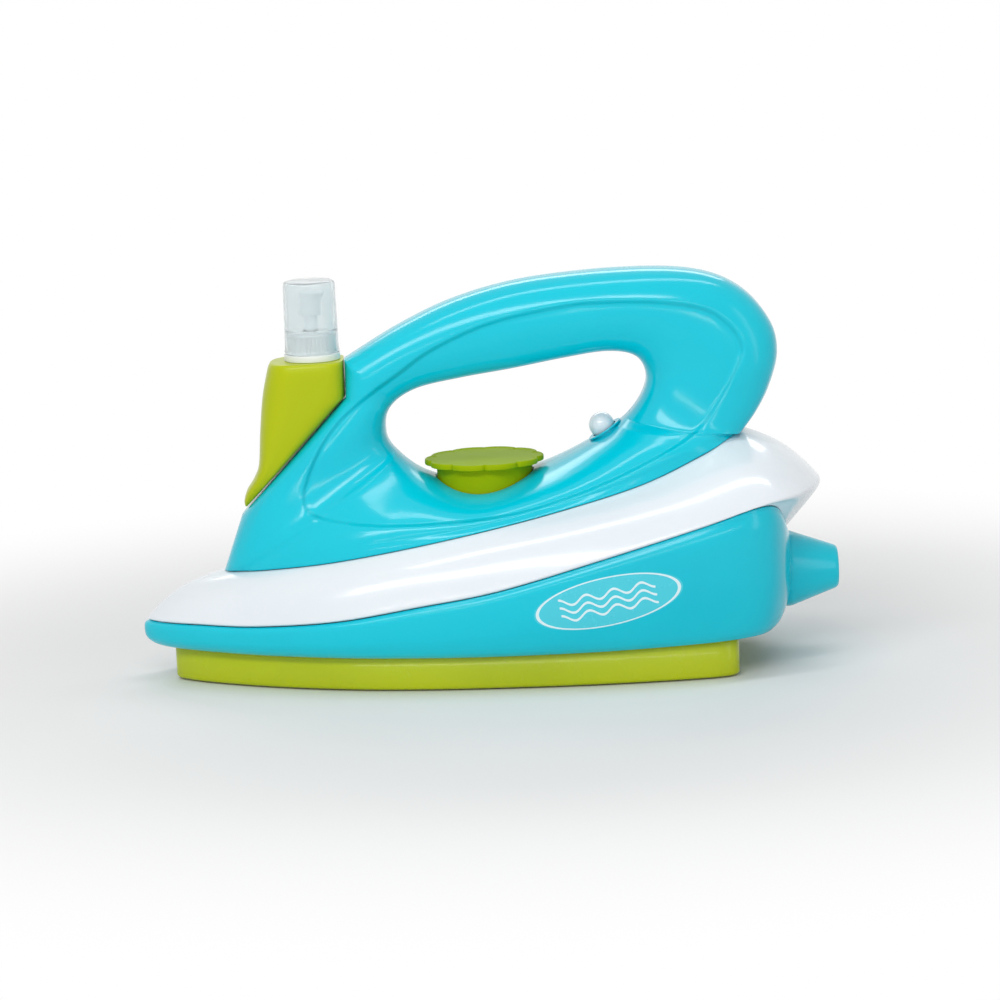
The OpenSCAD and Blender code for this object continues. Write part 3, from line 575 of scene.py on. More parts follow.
class Paint:
    """A material under construction."""

    def __init__(self, name: str) -> None:
        """Starts a material with one Principled shader."""
        self.material = bpy.data.materials.new(name)
        self.material.use_nodes = True
        self.tree = self.material.node_tree
        self.shader = self.tree.nodes["Principled BSDF"]

    def node(self, kind: str, settings: Optional[dict] = None, inputs: Optional[dict] = None,
             output: Union[int, str] = 0) -> Wire:
        """Adds any node.

        Args:
            kind: Blender's node type.
            settings: Properties that are set first; stops are a colour ramp's places and colours.
            inputs: Values or wires for its sockets.
            output: Socket that is wanted.

        Returns:
            The wanted socket.
        """
        made = self.tree.nodes.new(kind)
        for key, value in (settings or {}).items():
            if key == "stops":
                for spare in list(made.color_ramp.elements)[1:]:
                    made.color_ramp.elements.remove(spare)
                for k, (where, colour) in enumerate(value):
                    stop = made.color_ramp.elements[0] if k == 0 else made.color_ramp.elements.new(where)
                    stop.position, stop.color = where, (*colour, 1.0)
            else:
                setattr(made, key, value)
        for key, value in (inputs or {}).items():
            if isinstance(value, Wire):
                self.tree.links.new(value.socket, made.inputs[key])
            else:
                made.inputs[key].default_value = value
        return Wire(self, made.outputs[output])

    def place(self) -> Wire:
        """Place on the piece, in metres."""
        return self.node("ShaderNodeTexCoord", output="Object")

    def axis(self, name: str, place: Optional[Wire] = None) -> Wire:
        """One axis of a place, in metres."""
        return self.node("ShaderNodeSeparateXYZ", None, {0: place or self.place()}, name)

    def noise(self, scale: float, detail: float = 3.0, place: Optional[Wire] = None) -> Wire:
        """Noise of about 0 to 1 whose grain is scale to the metre."""
        return self.node("ShaderNodeTexNoise", None,
                         {"Vector": place or self.place(), "Scale": scale, "Detail": detail,
                          "Roughness": 0.55})

    def stretched(self, x: float, y: float, z: float) -> Wire:
        """Place with each axis scaled by itself."""
        return self.node("ShaderNodeMapping", None, {"Vector": self.place(), "Scale": (x, y, z)})

    def stored(self, name: str) -> Wire:
        """Number that the mesh stores under a name."""
        return self.node("ShaderNodeAttribute", {"attribute_name": name}, None, "Fac")

    def colours(self, share: Wire, first: Union[Colour, Wire], second: Union[Colour, Wire]) -> Wire:
        """Colour between two colours at a share.

        Args:
            share: 0 for the first colour, 1 for the second.
            first: Colour or wire.
            second: Colour or wire.

        Returns:
            The mixed colour.
        """
        first, second = [c if isinstance(c, Wire) else (*c, 1.0) for c in (first, second)]
        return self.node("ShaderNodeMix", {"data_type": "RGBA"}, {0: share, 6: first, 7: second}, 2)

    def feed(self, **sockets: Union[Value, tuple]) -> None:
        """Sets or links the shader's sockets.

        Args:
            sockets: Value or wire of each socket, named with underscores for spaces.
        """
        for key, value in sockets.items():
            socket = self.shader.inputs[key.replace("_", " ")]
            if isinstance(value, Wire):
                self.tree.links.new(value.socket, socket)
            else:
                socket.default_value = (*value, 1.0) if socket.type == "RGBA" else value

    def cover(self, share: Wire, colour: Colour) -> None:
        """Mixes plain light over the surface.

        Args:
            share: 0 for the surface, 1 for the light.
            colour: Colour of the light.
        """
        glow = self.node("ShaderNodeEmission", None, {"Color": (*colour, 1.0), "Strength": 1.0})
        mixed = self.node("ShaderNodeMixShader", None,
                          {0: share, 1: Wire(self, self.shader.outputs[0]), 2: glow})
        self.tree.links.new(mixed.socket, self.tree.nodes["Material Output"].inputs["Surface"])

    def seen(self) -> Wire:
        """Tells the rays that look from those that light other things.

        Returns:
            1 for rays from the camera, a mirror or a lens, otherwise 0.
        """
        camera, glossy, through = [self.node("ShaderNodeLightPath", None, None, "Is %s Ray" % kind)
                                   for kind in ("Camera", "Glossy", "Transmission")]
        return (camera + glossy + through).step(0.0, 1.0)

    def math(self, operation: str, value: Wire) -> Wire:
        """Math node on one value."""
        return self.node("ShaderNodeMath", {"operation": operation}, {0: value})

    def relief(self, height: Wire, depth: float, strength: float = 1.0) -> None:
        """Bumps the surface by a height whose full step is depth metres."""
        bump = self.node("ShaderNodeBump", None,
                         {"Height": height, "Distance": depth, "Strength": strength}, "Normal")
        self.feed(Normal=bump)


@dataclass(frozen=True)
class MouldedPlastic:
    """Opaque moulded plastic with faint flow marks, handling haze and a fine skin."""

    name: str
    colour: Colour
    shade: Colour
    rough: float = 0.2
    coat: float = 0.4
    skin: float = 0.000012
    glow: float = 0.0
    gloss: float = 0.5

    def started(self) -> tuple[Paint, Wire]:
        """Starts the material with its colour and gloss.

        Returns:
            The material under construction and the height of its fine skin.
        """
        paint = Paint(self.name)
        flow = paint.noise(14.0, 4.0, paint.stretched(0.5, 1.6, 1.0))
        haze = paint.noise(55.0, 5.0)
        paint.feed(
            Base_Color=paint.colours(flow.step(0.42, 0.72), self.colour, self.shade),
            Roughness=haze.step(0.45, 0.75) * 0.07 + self.rough,
            Coat_Weight=self.coat - haze.step(0.55, 0.8) * (self.coat * 0.4) if self.coat else 0.0,
            Coat_Roughness=0.06,
            IOR=1.42,
            Specular_IOR_Level=self.gloss,
            Subsurface_Weight=self.glow,
            Subsurface_Radius=(0.004, 0.004, 0.003),
        )
        return paint, paint.noise(900.0, 2.0)

    def material(self) -> bpy.types.Material:
        """Plain moulded finish.

        Returns:
            The material.
        """
        paint, skin = self.started()
        paint.relief(skin, self.skin)
        return paint.material


@dataclass(frozen=True)
class PanelledPlastic(MouldedPlastic):
    """Moulded plastic with a crisp edge round a pressed panel and the parting line of two halves at Y = 0."""

    depth: float = 0.0006
    edge: float = 0.8

    def material(self) -> bpy.types.Material:
        """Finish whose relief steps down where the mesh stores a panel.

        Returns:
            The material.
        """
        paint, skin = self.started()
        panel = paint.stored("panel").step(-self.edge, self.edge)
        parting = abs(paint.axis("Y")).step(0.00008, 0.00032)
        paint.relief(panel + parting * 0.4 + skin * (self.skin / self.depth), self.depth)
        return paint.material


@dataclass(frozen=True)
class ClearPlastic:
    """Clear, slightly frosted plastic with scuffs from the mould."""

    name: str
    tint: Colour = (0.90, 0.95, 0.96)
    rough: float = 0.1

    def material(self) -> bpy.types.Material:
        """See-through finish.

        Returns:
            The material.
        """
        paint = Paint(self.name)
        cloud = paint.noise(160.0, 4.0)
        streak = paint.noise(60.0, 3.0, paint.stretched(6.0, 6.0, 0.6))
        paint.feed(
            Base_Color=paint.colours(cloud.step(0.35, 0.8), self.tint, tuple(c * 0.97 for c in self.tint)),
            Roughness=streak.step(0.4, 0.8) * 0.10 + self.rough,
            Transmission_Weight=0.82,
            IOR=1.35,
        )
        paint.relief(cloud, 0.00004, 0.4)
        return paint.material


@dataclass(frozen=True)
class Metal:
    """Bright metal with fine draw lines and dull patches."""

    name: str
    colour: Colour = (0.66, 0.66, 0.68)
    dull: Colour = (0.42, 0.42, 0.43)
    rough: float = 0.26

    def material(self) -> bpy.types.Material:
        """Metal finish.

        Returns:
            The material.
        """
        paint = Paint(self.name)
        lines = paint.noise(500.0, 2.0, paint.stretched(0.3, 3.0, 3.0))
        patch = paint.noise(220.0, 4.0)
        paint.feed(
            Base_Color=paint.colours(patch.step(0.45, 0.8), self.colour, self.dull),
            Metallic=1.0,
            Roughness=lines.step(0.3, 0.8) * 0.16 + self.rough,
        )
        paint.relief(lines, 0.00001)
        return paint.material


@dataclass(frozen=True)
class BoardLacquer:
    """Green circuit board with copper tracks under the lacquer."""

    name: str
    green: Colour = (0.012, 0.13, 0.045)
    track: Colour = (0.05, 0.26, 0.09)

    def material(self) -> bpy.types.Material:
        """Board finish with tracks and pads.

        Returns:
            The material.
        """
        paint = Paint(self.name)
        cells = paint.node("ShaderNodeTexVoronoi", {"feature": "DISTANCE_TO_EDGE", "distance": "CHEBYCHEV"},
                           {"Vector": paint.place(), "Scale": 320.0, "Randomness": 0.8})
        tracks = 1 - cells.step(0.05, 0.12)
        paint.feed(Base_Color=paint.colours(tracks, self.green, self.track),
                   Roughness=paint.noise(300.0).step(0.3, 0.8) * 0.12 + 0.28, Coat_Weight=0.3)
        paint.relief(tracks, 0.00006)
        return paint.material


@dataclass(frozen=True)
class CellWrap:
    """Battery jacket: a dark wrap with a copper band at one end and bare steel beyond the ends."""

    name: str
    start: float
    end: float

    def material(self) -> bpy.types.Material:
        """Jacket finish along X.

        Returns:
            The material.
        """
        paint = Paint(self.name)
        along = (paint.axis("X") - self.start * MM) / ((self.end - self.start) * MM)
        bare = 1 - along.step(0.01, 0.02) * (1 - along.step(0.97, 0.98))
        band = along.step(0.69, 0.70)
        wrap = paint.colours(band, (0.02, 0.02, 0.025), (0.55, 0.26, 0.09))
        print_rows = paint.noise(90.0, 1.0, paint.stretched(0.4, 2.0, 2.0)).step(0.6, 0.62) * (1 - band)
        wrap = paint.colours(print_rows * 0.5, wrap, (0.6, 0.55, 0.4))
        paint.feed(Base_Color=paint.colours(bare, wrap, (0.6, 0.6, 0.62)), Metallic=bare * 0.95 + band * 0.3,
                   Roughness=paint.noise(240.0).step(0.3, 0.8) * 0.1 + 0.28)
        paint.relief(bare, 0.00012)
        return paint.material


@dataclass(frozen=True)
class PaperCone:
    """Dark pressed paper with rings, as a small loudspeaker's cone has."""

    name: str
    centre: float
    colour: Colour = (0.03, 0.03, 0.032)
    pitch: float = 0.0016

    def material(self) -> bpy.types.Material:
        """Paper finish with rings round the speaker's axis.

        Returns:
            The material.
        """
        paint = Paint(self.name)
        x = paint.axis("X") - self.centre * MM
        y = paint.axis("Y")
        radius = paint.math("SQRT", x * x + y * y)
        rings = paint.math("SINE", radius * (2 * math.pi / self.pitch))
        fibre = paint.noise(1400.0, 4.0)
        paint.feed(Base_Color=paint.colours(fibre.step(0.4, 0.8), self.colour,
                                            tuple(c * 2.2 for c in self.colour)),
                   Roughness=fibre * 0.2 + 0.7)
        paint.relief(rings * 0.4 + fibre * 0.6, 0.0001)
        return paint.material


@dataclass(frozen=True)
class LampLens:
    """Tinted see-through lens of a small lamp."""

    name: str
    colour: Colour = (0.85, 0.04, 0.03)

    def material(self) -> bpy.types.Material:
        """Lens finish with a cloudy core.

        Returns:
            The material.
        """
        paint = Paint(self.name)
        cloud = paint.noise(500.0, 3.0)
        paint.feed(Base_Color=paint.colours(cloud.step(0.4, 0.8), self.colour, (0.95, 0.25, 0.15)),
                   Roughness=cloud * 0.1 + 0.08, Transmission_Weight=0.55, IOR=1.5)
        return paint.material


@dataclass(frozen=True)
class StickerFilm:
    """Pale film with a white rim line and a three steam waves, placed by the mesh's own map."""

    name: str
    film: Colour
    ink: Colour = (0.72, 0.88, 0.92)
    wave_turns: float = 17.0
    wave_height: float = 0.14
    wave_levels: tuple[float, float, float] = (-0.32, 0.0, 0.32)

    def material(self) -> bpy.types.Material:
        """Printed finish; the map runs from -1 to 1 along both axes of the oval.

        Returns:
            The material.
        """
        paint = Paint(self.name)
        across, up = paint.stored("oval_x"), paint.stored("oval_y")
        reach = paint.math("SQRT", across * across + up * up)
        rim = reach.step(0.925, 0.94) * (1 - reach.step(0.965, 0.98))
        wave = paint.math("SINE", across * self.wave_turns) * self.wave_height
        lines = [1 - abs(up - wave - level).step(0.03, 0.06) for level in self.wave_levels]
        waves = (lines[0] + lines[1] + lines[2]) * (1 - abs(across).step(0.62, 0.66))
        printed = (rim + waves).step(0.1, 0.6)
        paint.feed(Base_Color=paint.colours(printed, self.film, self.ink),
                   Roughness=paint.noise(400.0).step(0.3, 0.8) * 0.08 + 0.22, Coat_Weight=0.3)
        paint.relief(printed, 0.00002)
        return paint.material


class Palette:
    """The materials of the toy, made once."""

    def __init__(self) -> None:
        """Makes every finish."""
        turquoise, teal = linear(0, 200, 220), linear(0, 191, 213)
        white, pale = linear(232, 238, 243), linear(224, 231, 238)
        lime, olive = linear(184, 196, 0), linear(170, 184, 0)
        self.handle = PanelledPlastic("turquoise_handle", turquoise, teal, rough=0.15, coat=0.1,
                                      gloss=0.38).material()
        self.turquoise = MouldedPlastic("turquoise_shell", turquoise, teal, rough=0.16, coat=0.1,
                                        gloss=0.38).material()
        self.white = MouldedPlastic("white_shell", white, pale, rough=0.2, coat=0.45).material()
        self.lime = MouldedPlastic("lime_shell", lime, olive, rough=0.26, coat=0.2, gloss=0.4).material()
        self.bottle = MouldedPlastic("lime_bottle", linear(180, 193, 0), lime, rough=0.3, coat=0.05,
                                     glow=0.05, gloss=0.3).material()
        self.dial = MouldedPlastic("lime_dial", linear(156, 178, 0), linear(144, 168, 0), rough=0.5, coat=0.0,
                                   gloss=0.1).material()
        self.ball = MouldedPlastic("white_ball", white, pale, rough=0.14, coat=0.6).material()
        self.pump = MouldedPlastic("sprayer_white", linear(238, 242, 243), white, rough=0.3,
                                   coat=0.1).material()
        self.natural = MouldedPlastic("natural_moulding", linear(222, 226, 222), white, rough=0.4, coat=0.0,
                                      glow=0.1).material()
        self.chassis = MouldedPlastic("chassis_moulding", linear(70, 150, 160), linear(60, 138, 150),
                                      rough=0.42, coat=0.0, skin=0.00004).material()
        self.black = MouldedPlastic("black_moulding", (0.02, 0.02, 0.022), (0.032, 0.032, 0.034), rough=0.38,
                                    coat=0.05, skin=0.00003).material()
        self.gasket = MouldedPlastic("soft_gasket", linear(206, 206, 198), linear(190, 190, 182), rough=0.62,
                                     coat=0.0, skin=0.00003).material()
        self.clear = ClearPlastic("clear_cap").material()
        self.steel = Metal("bright_steel").material()
        self.board = BoardLacquer("green_board").material()
        self.lens = LampLens("lamp_red").material()
        self.sticker = StickerFilm("oval_sticker", linear(64, 206, 224)).material()


# Shared plan of the toy


@dataclass(frozen=True)
class Plan:
    """Sizes and curves that several pieces share, in millimetres."""

    nose_x: float = -108.44
    heel_x: float = 93.6
    base_l: float = 202.04
    base_w: float = 91.0
    rim_z: float = 10.5
    heel_rise: float = 2.0
    nose_edge_z: float = 19.0
    corner_edge_z: float = 53.4
    nose_share: float = 1.3
    tail_l: float = 12.3
    tail_z: float = 54.6
    seat_x: float = -83.44
    seat_l: float = 164.04
    seat_w: float = 64.0
    seat_front_z: float = 34.0
    seat_rear_z: float = 72.0
    handle_l: float = 176.34
    handle_top_z: float = 124.2
    grip_w: float = 28.0
    grip_round: float = 0.66
    foot_swell: float = 1.04
    crease_out: float = 0.4
    opening_x: float = -30.44
    opening_l: float = 82.04
    opening_z: float = 58.5
    opening_h: float = 40.0
    bottle_x: float = -52.44
    notch_x: float = -42.496
    tip_x: float = -75.44
    tip_z: float = 53.6
    step_z: float = 88.0
    bottle_top_z: float = 99.5
    seam: float = 0.25
    wall: float = 2.0
    side_count: int = 120
    edge_shape: tuple[Row, ...] = (
        (0, 0, 0), (0.022, 0.15, 0), (0.08, 0.34, 0.012), (0.175, 0.575, 0.03), (0.30, 0.79, 0.10),
        (0.425, 0.91, 0.23), (0.55, 0.967, 0.36), (0.71, 0.99, 0.61), (0.865, 0.945, 0.855),
        (0.945, 0.85, 0.98), (0.98, 0.69, 0.95), (0.996, 0.40, 0.74), (1, 0, 0.60),
    )
    seat_shape: tuple[Row, ...] = (
        (0, 0, 0, 16, 1), (0.012, 0.13, 0.004, 15.97, 0.95), (0.037, 0.26, 0.02, 15.9, 0.8),
        (0.088, 0.45, 0.05, 15.75, 0.55), (0.204, 0.75, 0.13, 15.4, 0.3), (0.339, 0.94, 0.24, 14.9, 0.2),
        (0.494, 1, 0.37, 13.9, 0.2), (0.649, 0.94, 0.51, 13.1, 0.2), (0.805, 0.81, 0.68, 12.3, 0.25),
        (0.923, 0.63, 0.88, 11.7, 0.4), (0.968, 0.45, 0.965, 11.3, 0.6), (0.992, 0.24, 1, 11, 0.85),
        (1, 0, 1, 10.8, 1),
    )
    opening_shape: tuple[Row, ...] = (
        (0.03, 0.30), (0, 0.46), (0.024, 0.64), (0.122, 0.77), (0.293, 0.84), (0.488, 0.895), (0.683, 0.96),
        (0.854, 1), (0.963, 0.95), (1, 0.79), (0.97, 0.61), (0.896, 0.44), (0.78, 0.29), (0.585, 0.11),
        (0.354, 0), (0.158, 0.09),
    )

    def side_ring(self, gap: float, share: float) -> list[Row]:
        """Ring of the base at a gap inside its edge and a share of the way up from the rim.

        Args:
            gap: Distance inside the edge, negative outside it.
            share: 0 at the rim, 1 at the edge.

        Returns:
            The closed ring.
        """
        rows = []
        for along, across, up in self.edge_shape:
            edge_z = mix(self.nose_edge_z, self.corner_edge_z, up)
            rows.append((
                self.nose_x + self.nose_share * gap + (self.base_l - (1 + self.nose_share) * gap) * along,
                (self.base_w / 2 - gap) * across,
                mix(self.rim_z + self.heel_rise * max(0.0, 2 * along - 1) ** 2, edge_z, share),
            ))
        return Track(tuple(rows)).ring(self.side_count)

    def crease_ring(self) -> list[Row]:
        """Ring of the skirt's lower crease, which leaves the edge behind the corner to form the tail.

        Returns:
            The closed ring.
        """
        rows, half, corner = [], self.base_w / 2, self.corner_edge_z
        for i, (along, across, up) in enumerate(self.edge_shape[:9]):
            out = self.crease_out if i else 0.0
            z = mix(self.nose_edge_z, corner, up) + 1
            rows.append((self.nose_x + self.base_l * along, half * across + out, z))
        rows += [
            (self.heel_x - 7, 0.85 * half, corner + 1),
            (self.heel_x + 0.36 * self.tail_l, 0.66 * half, mix(corner, self.tail_z, 0.6) + 1),
            (self.heel_x + 0.83 * self.tail_l, 0.34 * half, self.tail_z + 0.5),
            (self.heel_x + self.tail_l, 0.0, self.tail_z),
        ]
        return Track(tuple(rows)).ring(self.side_count)

    def seat_track(self) -> Track:
        """Curve of the seat.

        Returns:
            Rows of x, half width, z, place on the opening, half width of the grip and roundness.
        """
        return Track(tuple(
            (self.seat_x + self.seat_l * s[0], self.seat_w / 2 * s[1],
             mix(self.seat_front_z, self.seat_rear_z, s[2]), s[3], self.grip_w / 2 * s[4] * self.foot_swell,
             self.grip_round)
            for s in self.seat_shape
        ))

    def opening_at(self, u: float) -> Vector:
        """Point of the hand opening's rim in the X and Z plane."""
        along, up = Track(self.opening_shape).around(u)
        return Vector((self.opening_x + self.opening_l * along, self.opening_z + self.opening_h * up))


# Pieces


@dataclass
class Base:
    """Turquoise base band: rolled rim, swelling side and a tight roll at the top edge."""

    plan: Plan
    palette: Palette
    inner_gap: float = 2.3
    ledge_gap: float = 5.0
    ledge_z: float = 17.6
    ledge_t: float = 1.1
    rim_inner: float = 5.6
    bush_z: float = 26.5
    bush_r: float = 12.1
    face: tuple[Row, ...] = (
        (4, 0), (2.2, 0.06), (0.6, 0.18), (-0.72, 0.38), (-1.08, 0.66), (-0.84, 0.9), (0.4, 1),
    )
    cuts: int = 5
    oval_x: float = 36.0
    oval_z: float = 27.5
    oval_l: float = 46.5
    oval_h: float = 15.6
    oval_tilt: float = 10.0
    oval_t: float = 0.03
    oval_cuts: int = 16

    def rings(self) -> list[list[Row]]:
        """Rings of the outer face from the rim up, then of the inner face down.

        Returns:
            The rings, of which the last joins the first.
        """
        plan, track = self.plan, Track(self.face)
        steps = track.last * self.cuts
        outer = [plan.side_ring(*track.along(track.last * k / steps)) for k in range(steps)]
        roll = [plan.side_ring(0.2, 0.995), plan.side_ring(0.45, 1.0), plan.side_ring(0.8, 1.0)]
        high, low = self.ledge_z + self.ledge_t, self.ledge_z
        corners = (
            (self.inner_gap, high), (self.ledge_gap, high), (self.ledge_gap, low), (self.inner_gap, low),
        )
        ledge = [levelled(plan.side_ring(gap, 1), z) for gap, z in corners]
        return [
            *outer, *roll, plan.side_ring(self.inner_gap, 0.97), *ledge, plan.side_ring(self.rim_inner, 0),
        ]

    def build(self) -> bpy.types.Object:
        """Makes the band with the hole for the bush.

        Returns:
            The dressed piece.
        """
        mesh = bmesh.new()
        add_loft(mesh, self.rings(), closed=True)
        piece = finish_mesh(mesh, "base_band", SHELL_SHARP)
        hole = bmesh.new()
        add_cylinder(hole, self.bush_r, (self.plan.heel_x - 10, 0, self.bush_z),
                     (self.plan.heel_x + 10, 0, self.bush_z), FINE_STEPS)
        carve(piece, hole)
        return settle(piece, "iron_body", ["base_shell"], self.palette.turquoise)

    def sticker(self, band: bpy.types.Object) -> bpy.types.Object:
        """Lays an oval sticker on the near side of the band.

        Args:
            band: The finished band.

        Returns:
            The dressed sticker.
        """
        mesh = bmesh.new()
        line = [mesh.verts.new((k / self.oval_cuts, 0.0, 0.0)) for k in range(self.oval_cuts + 1)]
        edges = [mesh.edges.new(pair) for pair in zip(line, line[1:])]
        bmesh.ops.spin(mesh, geom=line + edges, cent=(0, 0, 0), axis=(0, 1, 0), angle=2 * math.pi,
                       steps=FINE_STEPS, use_merge=True)
        bmesh.ops.remove_doubles(mesh, verts=mesh.verts[:], dist=1e-5)
        across, up = mesh.verts.layers.float.new("oval_x"), mesh.verts.layers.float.new("oval_y")
        for vert in mesh.verts:
            vert[across], vert[up] = vert.co.x, vert.co.z
        size = Matrix.Diagonal((self.oval_l / 2 * MM, 1.0, self.oval_h / 2 * MM, 1.0))
        turn = Matrix.Rotation(-math.radians(self.oval_tilt), 4, "Y")
        place = Matrix.Translation((self.oval_x * MM, -0.1, self.oval_z * MM))
        bmesh.ops.transform(mesh, matrix=place @ turn @ size, verts=mesh.verts[:])
        source = bmesh.new()
        source.from_mesh(band.data)
        hull = BVHTree.FromBMesh(source)
        source.free()
        for vert in mesh.verts:
            spot, normal, *_ = hull.ray_cast(vert.co, Vector((0, 1, 0)))
            vert.co = spot + normal * self.oval_t * MM
        piece = finish_mesh(mesh, "oval_sticker")
        return settle(piece, "iron_body", (), self.palette.sticker)


@dataclass
class Skirt:
    """White band between the base and the handle, drawn out into the tail."""

    plan: Plan
    palette: Palette
    swell: float = 1.82
    cuts: int = 18
    span: tuple[float, float] = (0.05, 0.98)
    crease_from: float = 0.7
    foot_lip: tuple[Row, ...] = ((0.5, 0.0), (0.12, 0.1), (0.0, 0.3))
    seat_lip: tuple[float, ...] = (0.15, 0.6)
    seat_wall: float = 2.25
    seat_drop: float = 1.0
    inner_wall: float = 2.7
    inner_share: float = 0.45

    def swelled(self, crease: Sequence[Row], seat: Sequence[Row], share: float) -> list[Row]:
        """Ring between the crease and the seat, pushed outwards and up at its middle.

        Args:
            crease: Lower ring.
            seat: Upper ring.
            share: 0 at the crease, 1 at the seat.

        Returns:
            The pushed ring.
        """
        push = self.swell * math.sin(math.pi * share)
        return inset(lifted(between(crease, seat, share), push), -push)

    def build(self) -> bpy.types.Object:
        """Makes the band with a softened crease.

        Returns:
            The dressed piece.
        """
        plan = self.plan
        edge = lifted(plan.side_ring(0, 1), plan.seam)
        crease = plan.crease_ring()
        seat = [row[:3] for row in plan.seat_track().ring(plan.side_count)]
        first, last = self.span
        soft = curved(between(edge, crease, self.crease_from), crease, self.swelled(crease, seat, first))
        shares = [mix(first, last, k / self.cuts) for k in range(1, self.cuts + 1)]
        top = lifted(seat, -plan.seam)
        rings = [inset(lifted(edge, rise), gap) for gap, rise in self.foot_lip]
        rings += [between(edge, crease, 0.5), *soft]
        rings += [self.swelled(crease, seat, share) for share in shares]
        rings += [inset(top, gap) for gap in self.seat_lip]
        inner = self.swelled(crease, seat, self.inner_share)
        rings += [
            lifted(inset(seat, self.seat_wall), -self.seat_drop), inset(inner, self.inner_wall),
            inset(crease, self.inner_wall), inset(edge, plan.wall),
        ]
        mesh = bmesh.new()
        add_loft(mesh, rings, closed=True)
        piece = finish_mesh(mesh, "skirt_band", SHELL_SHARP)
        return settle(piece, "iron_body", ["skirt"], self.palette.white)


@dataclass
class Handle:
    """Looped handle in two halves that meet on the mid-plane, with a sunk panel round the hand opening."""

    plan: Plan
    palette: Palette
    rows: int = 84
    inner_rows: int = 14
    counts: tuple[int, ...] = (8, 30, 10, 120, 120)
    foot_blend: float = 10.0
    soft_edge: float = 0.12
    foot_reach: float = 13.0
    foot_passes: int = 80
    rear_reach: float = 45.0
    rear_passes: int = 700
    seat_flat: float = 0.3
    dial_x: float = -0.098
    dial_z: float = 64.8
    dial_t: float = 1.8
    dial_r: float = 18.7
    dial_room: float = 0.6
    drum_r: float = 15.0
    post_top_z: float = 48.0
    button: tuple[float, float] = (38.467, 72.837)
    button_tilt: float = 31.5526
    button_hole_r: float = 5.25
    button_steps: int = 64
    post_places: tuple[tuple[Stretch, float], ...] = (
        (Stretch.FOOT, 0.0), *((Stretch.ARCH, part / 26) for part in (3, 9, 16, 22)),
    )
    post_r: float = 3.2
    post_bore_r: float = 1.4
    post_sink: float = 0.4
    head_hole_r: float = 2.7
    head_seat_y: float = 5.0
    arch_shape: tuple[Row, ...] = (
        (0.333, 0.72, 3.0, 0.90), (0.437, 0.868, 3.9, 0.93), (0.5615, 0.963, 5.2, 0.96), (0.73, 1, 7.1, 1),
        (0.8565, 0.973, 8.0, 1.03), (0.936, 0.862, 8.6, 1.06), (0.987, 0.661, 9.1, 1.07),
        (1, 0.467, 9.6, 1.07), (0.984, 0.268, 10.1, 1.06), (0.959, 0.115, 10.5, 1.05),
    )
    panel_depth: float = 0.7
    panel_soft: float = 0.9
    panel_home: float = 0.4
    panel_loop: tuple[Row, ...] = (
        (-56.8, 55.0), (-54.6, 63.5), (-49.5, 73.3), (-42.8, 81.0), (-34.1, 87.6), (-25.5, 93.3),
        (-15.1, 100.2), (3.3, 107.8), (26.1, 112.1), (38.2, 112.8), (56.3, 112.0), (69.7, 109.4),
        (77.0, 104.5), (80.9, 98.2), (80.3, 92.9), (73.9, 81.2), (64.6, 70.1), (44.1, 59.1),
        (23.6, 51.4), (4.9, 47.1), (-17.0, 45.6), (-37.2, 46.1), (-53.2, 49.7),
    )
    panel_lean: float = 0.176
    panel_points: int = 140

    def edge_row(self, stretch: Stretch, f: float) -> Row:
        """Row of the outer edge.

        Args:
            stretch: Which stretch.
            f: Share of the stretch.

        Returns:
            x, half width, z, place on the opening, half width of the grip and roundness.
        """
        plan, half = self.plan, self.plan.grip_w / 2
        if stretch is Stretch.SEAT:
            seat = plan.seat_track()
            return seat.half(seat.last * (1 - f))
        foot, heel = [
            (x, 0.0, z, place, half * plan.foot_swell, plan.grip_round)
            for x, z, place in ((plan.seat_x, plan.seat_front_z, 0.0),
                                (plan.seat_x + plan.seat_l, plan.seat_rear_z, 10.8))
        ]
        tip = (plan.tip_x - 1.5, 0.0, plan.tip_z - 2, 0.3, half * 0.95, self.seat_flat)
        step = (plan.notch_x, 0.0, plan.step_z, 1.8, half * 0.9, self.seat_flat)
        notch = (plan.notch_x, 0.0, plan.bottle_top_z, 2.3, half * 0.88, plan.grip_round)
        if stretch is Stretch.ARCH:
            arch = Track((notch, *(
                (plan.seat_x + plan.handle_l * s[0], 0.0, mix(plan.seat_rear_z, plan.handle_top_z, s[1]),
                 s[2], half * s[3], plan.grip_round) for s in self.arch_shape), heel))
            return arch.along(arch.last * f)
        return blend(*(foot, tip, step, notch)[stretch.value:stretch.value + 2], f)

    def columns(self) -> list[Row]:
        """Columns of the skin, once round the outer edge."""
        return [
            self.edge_row(part, i / count)
            for part, count in zip(Stretch, self.counts) for i in range(count)
        ]

    def skin(self, column: Row, t: float, depth: float, side: Side) -> Row:
        """Point of a half's skin.

        Args:
            column: Row of the outer edge.
            t: Share of the way from the outer edge to the opening.
            depth: Depth below the surface.
            side: Which half.

        Returns:
            The point.
        """
        outer, inner = Vector((column[0], column[2])), self.plan.opening_at(column[3])
        way = (inner - outer).normalized()
        k = min(1.0, column[1] / self.foot_blend)
        share = mix(eased(t), math.sin(math.pi / 2 * t), k)
        spot = (outer + way * depth * (1 - k)).lerp(inner - way * depth, share)
        power = mix(column[5], self.plan.grip_round, t)
        y = max(0.0, column[1] - depth) * max(0.0, math.cos(math.pi / 2 * t)) ** 0.9
        y += (column[4] - depth) * max(0.0, math.sin(math.pi * t)) ** power
        return (spot.x, side.value * y, spot.y)

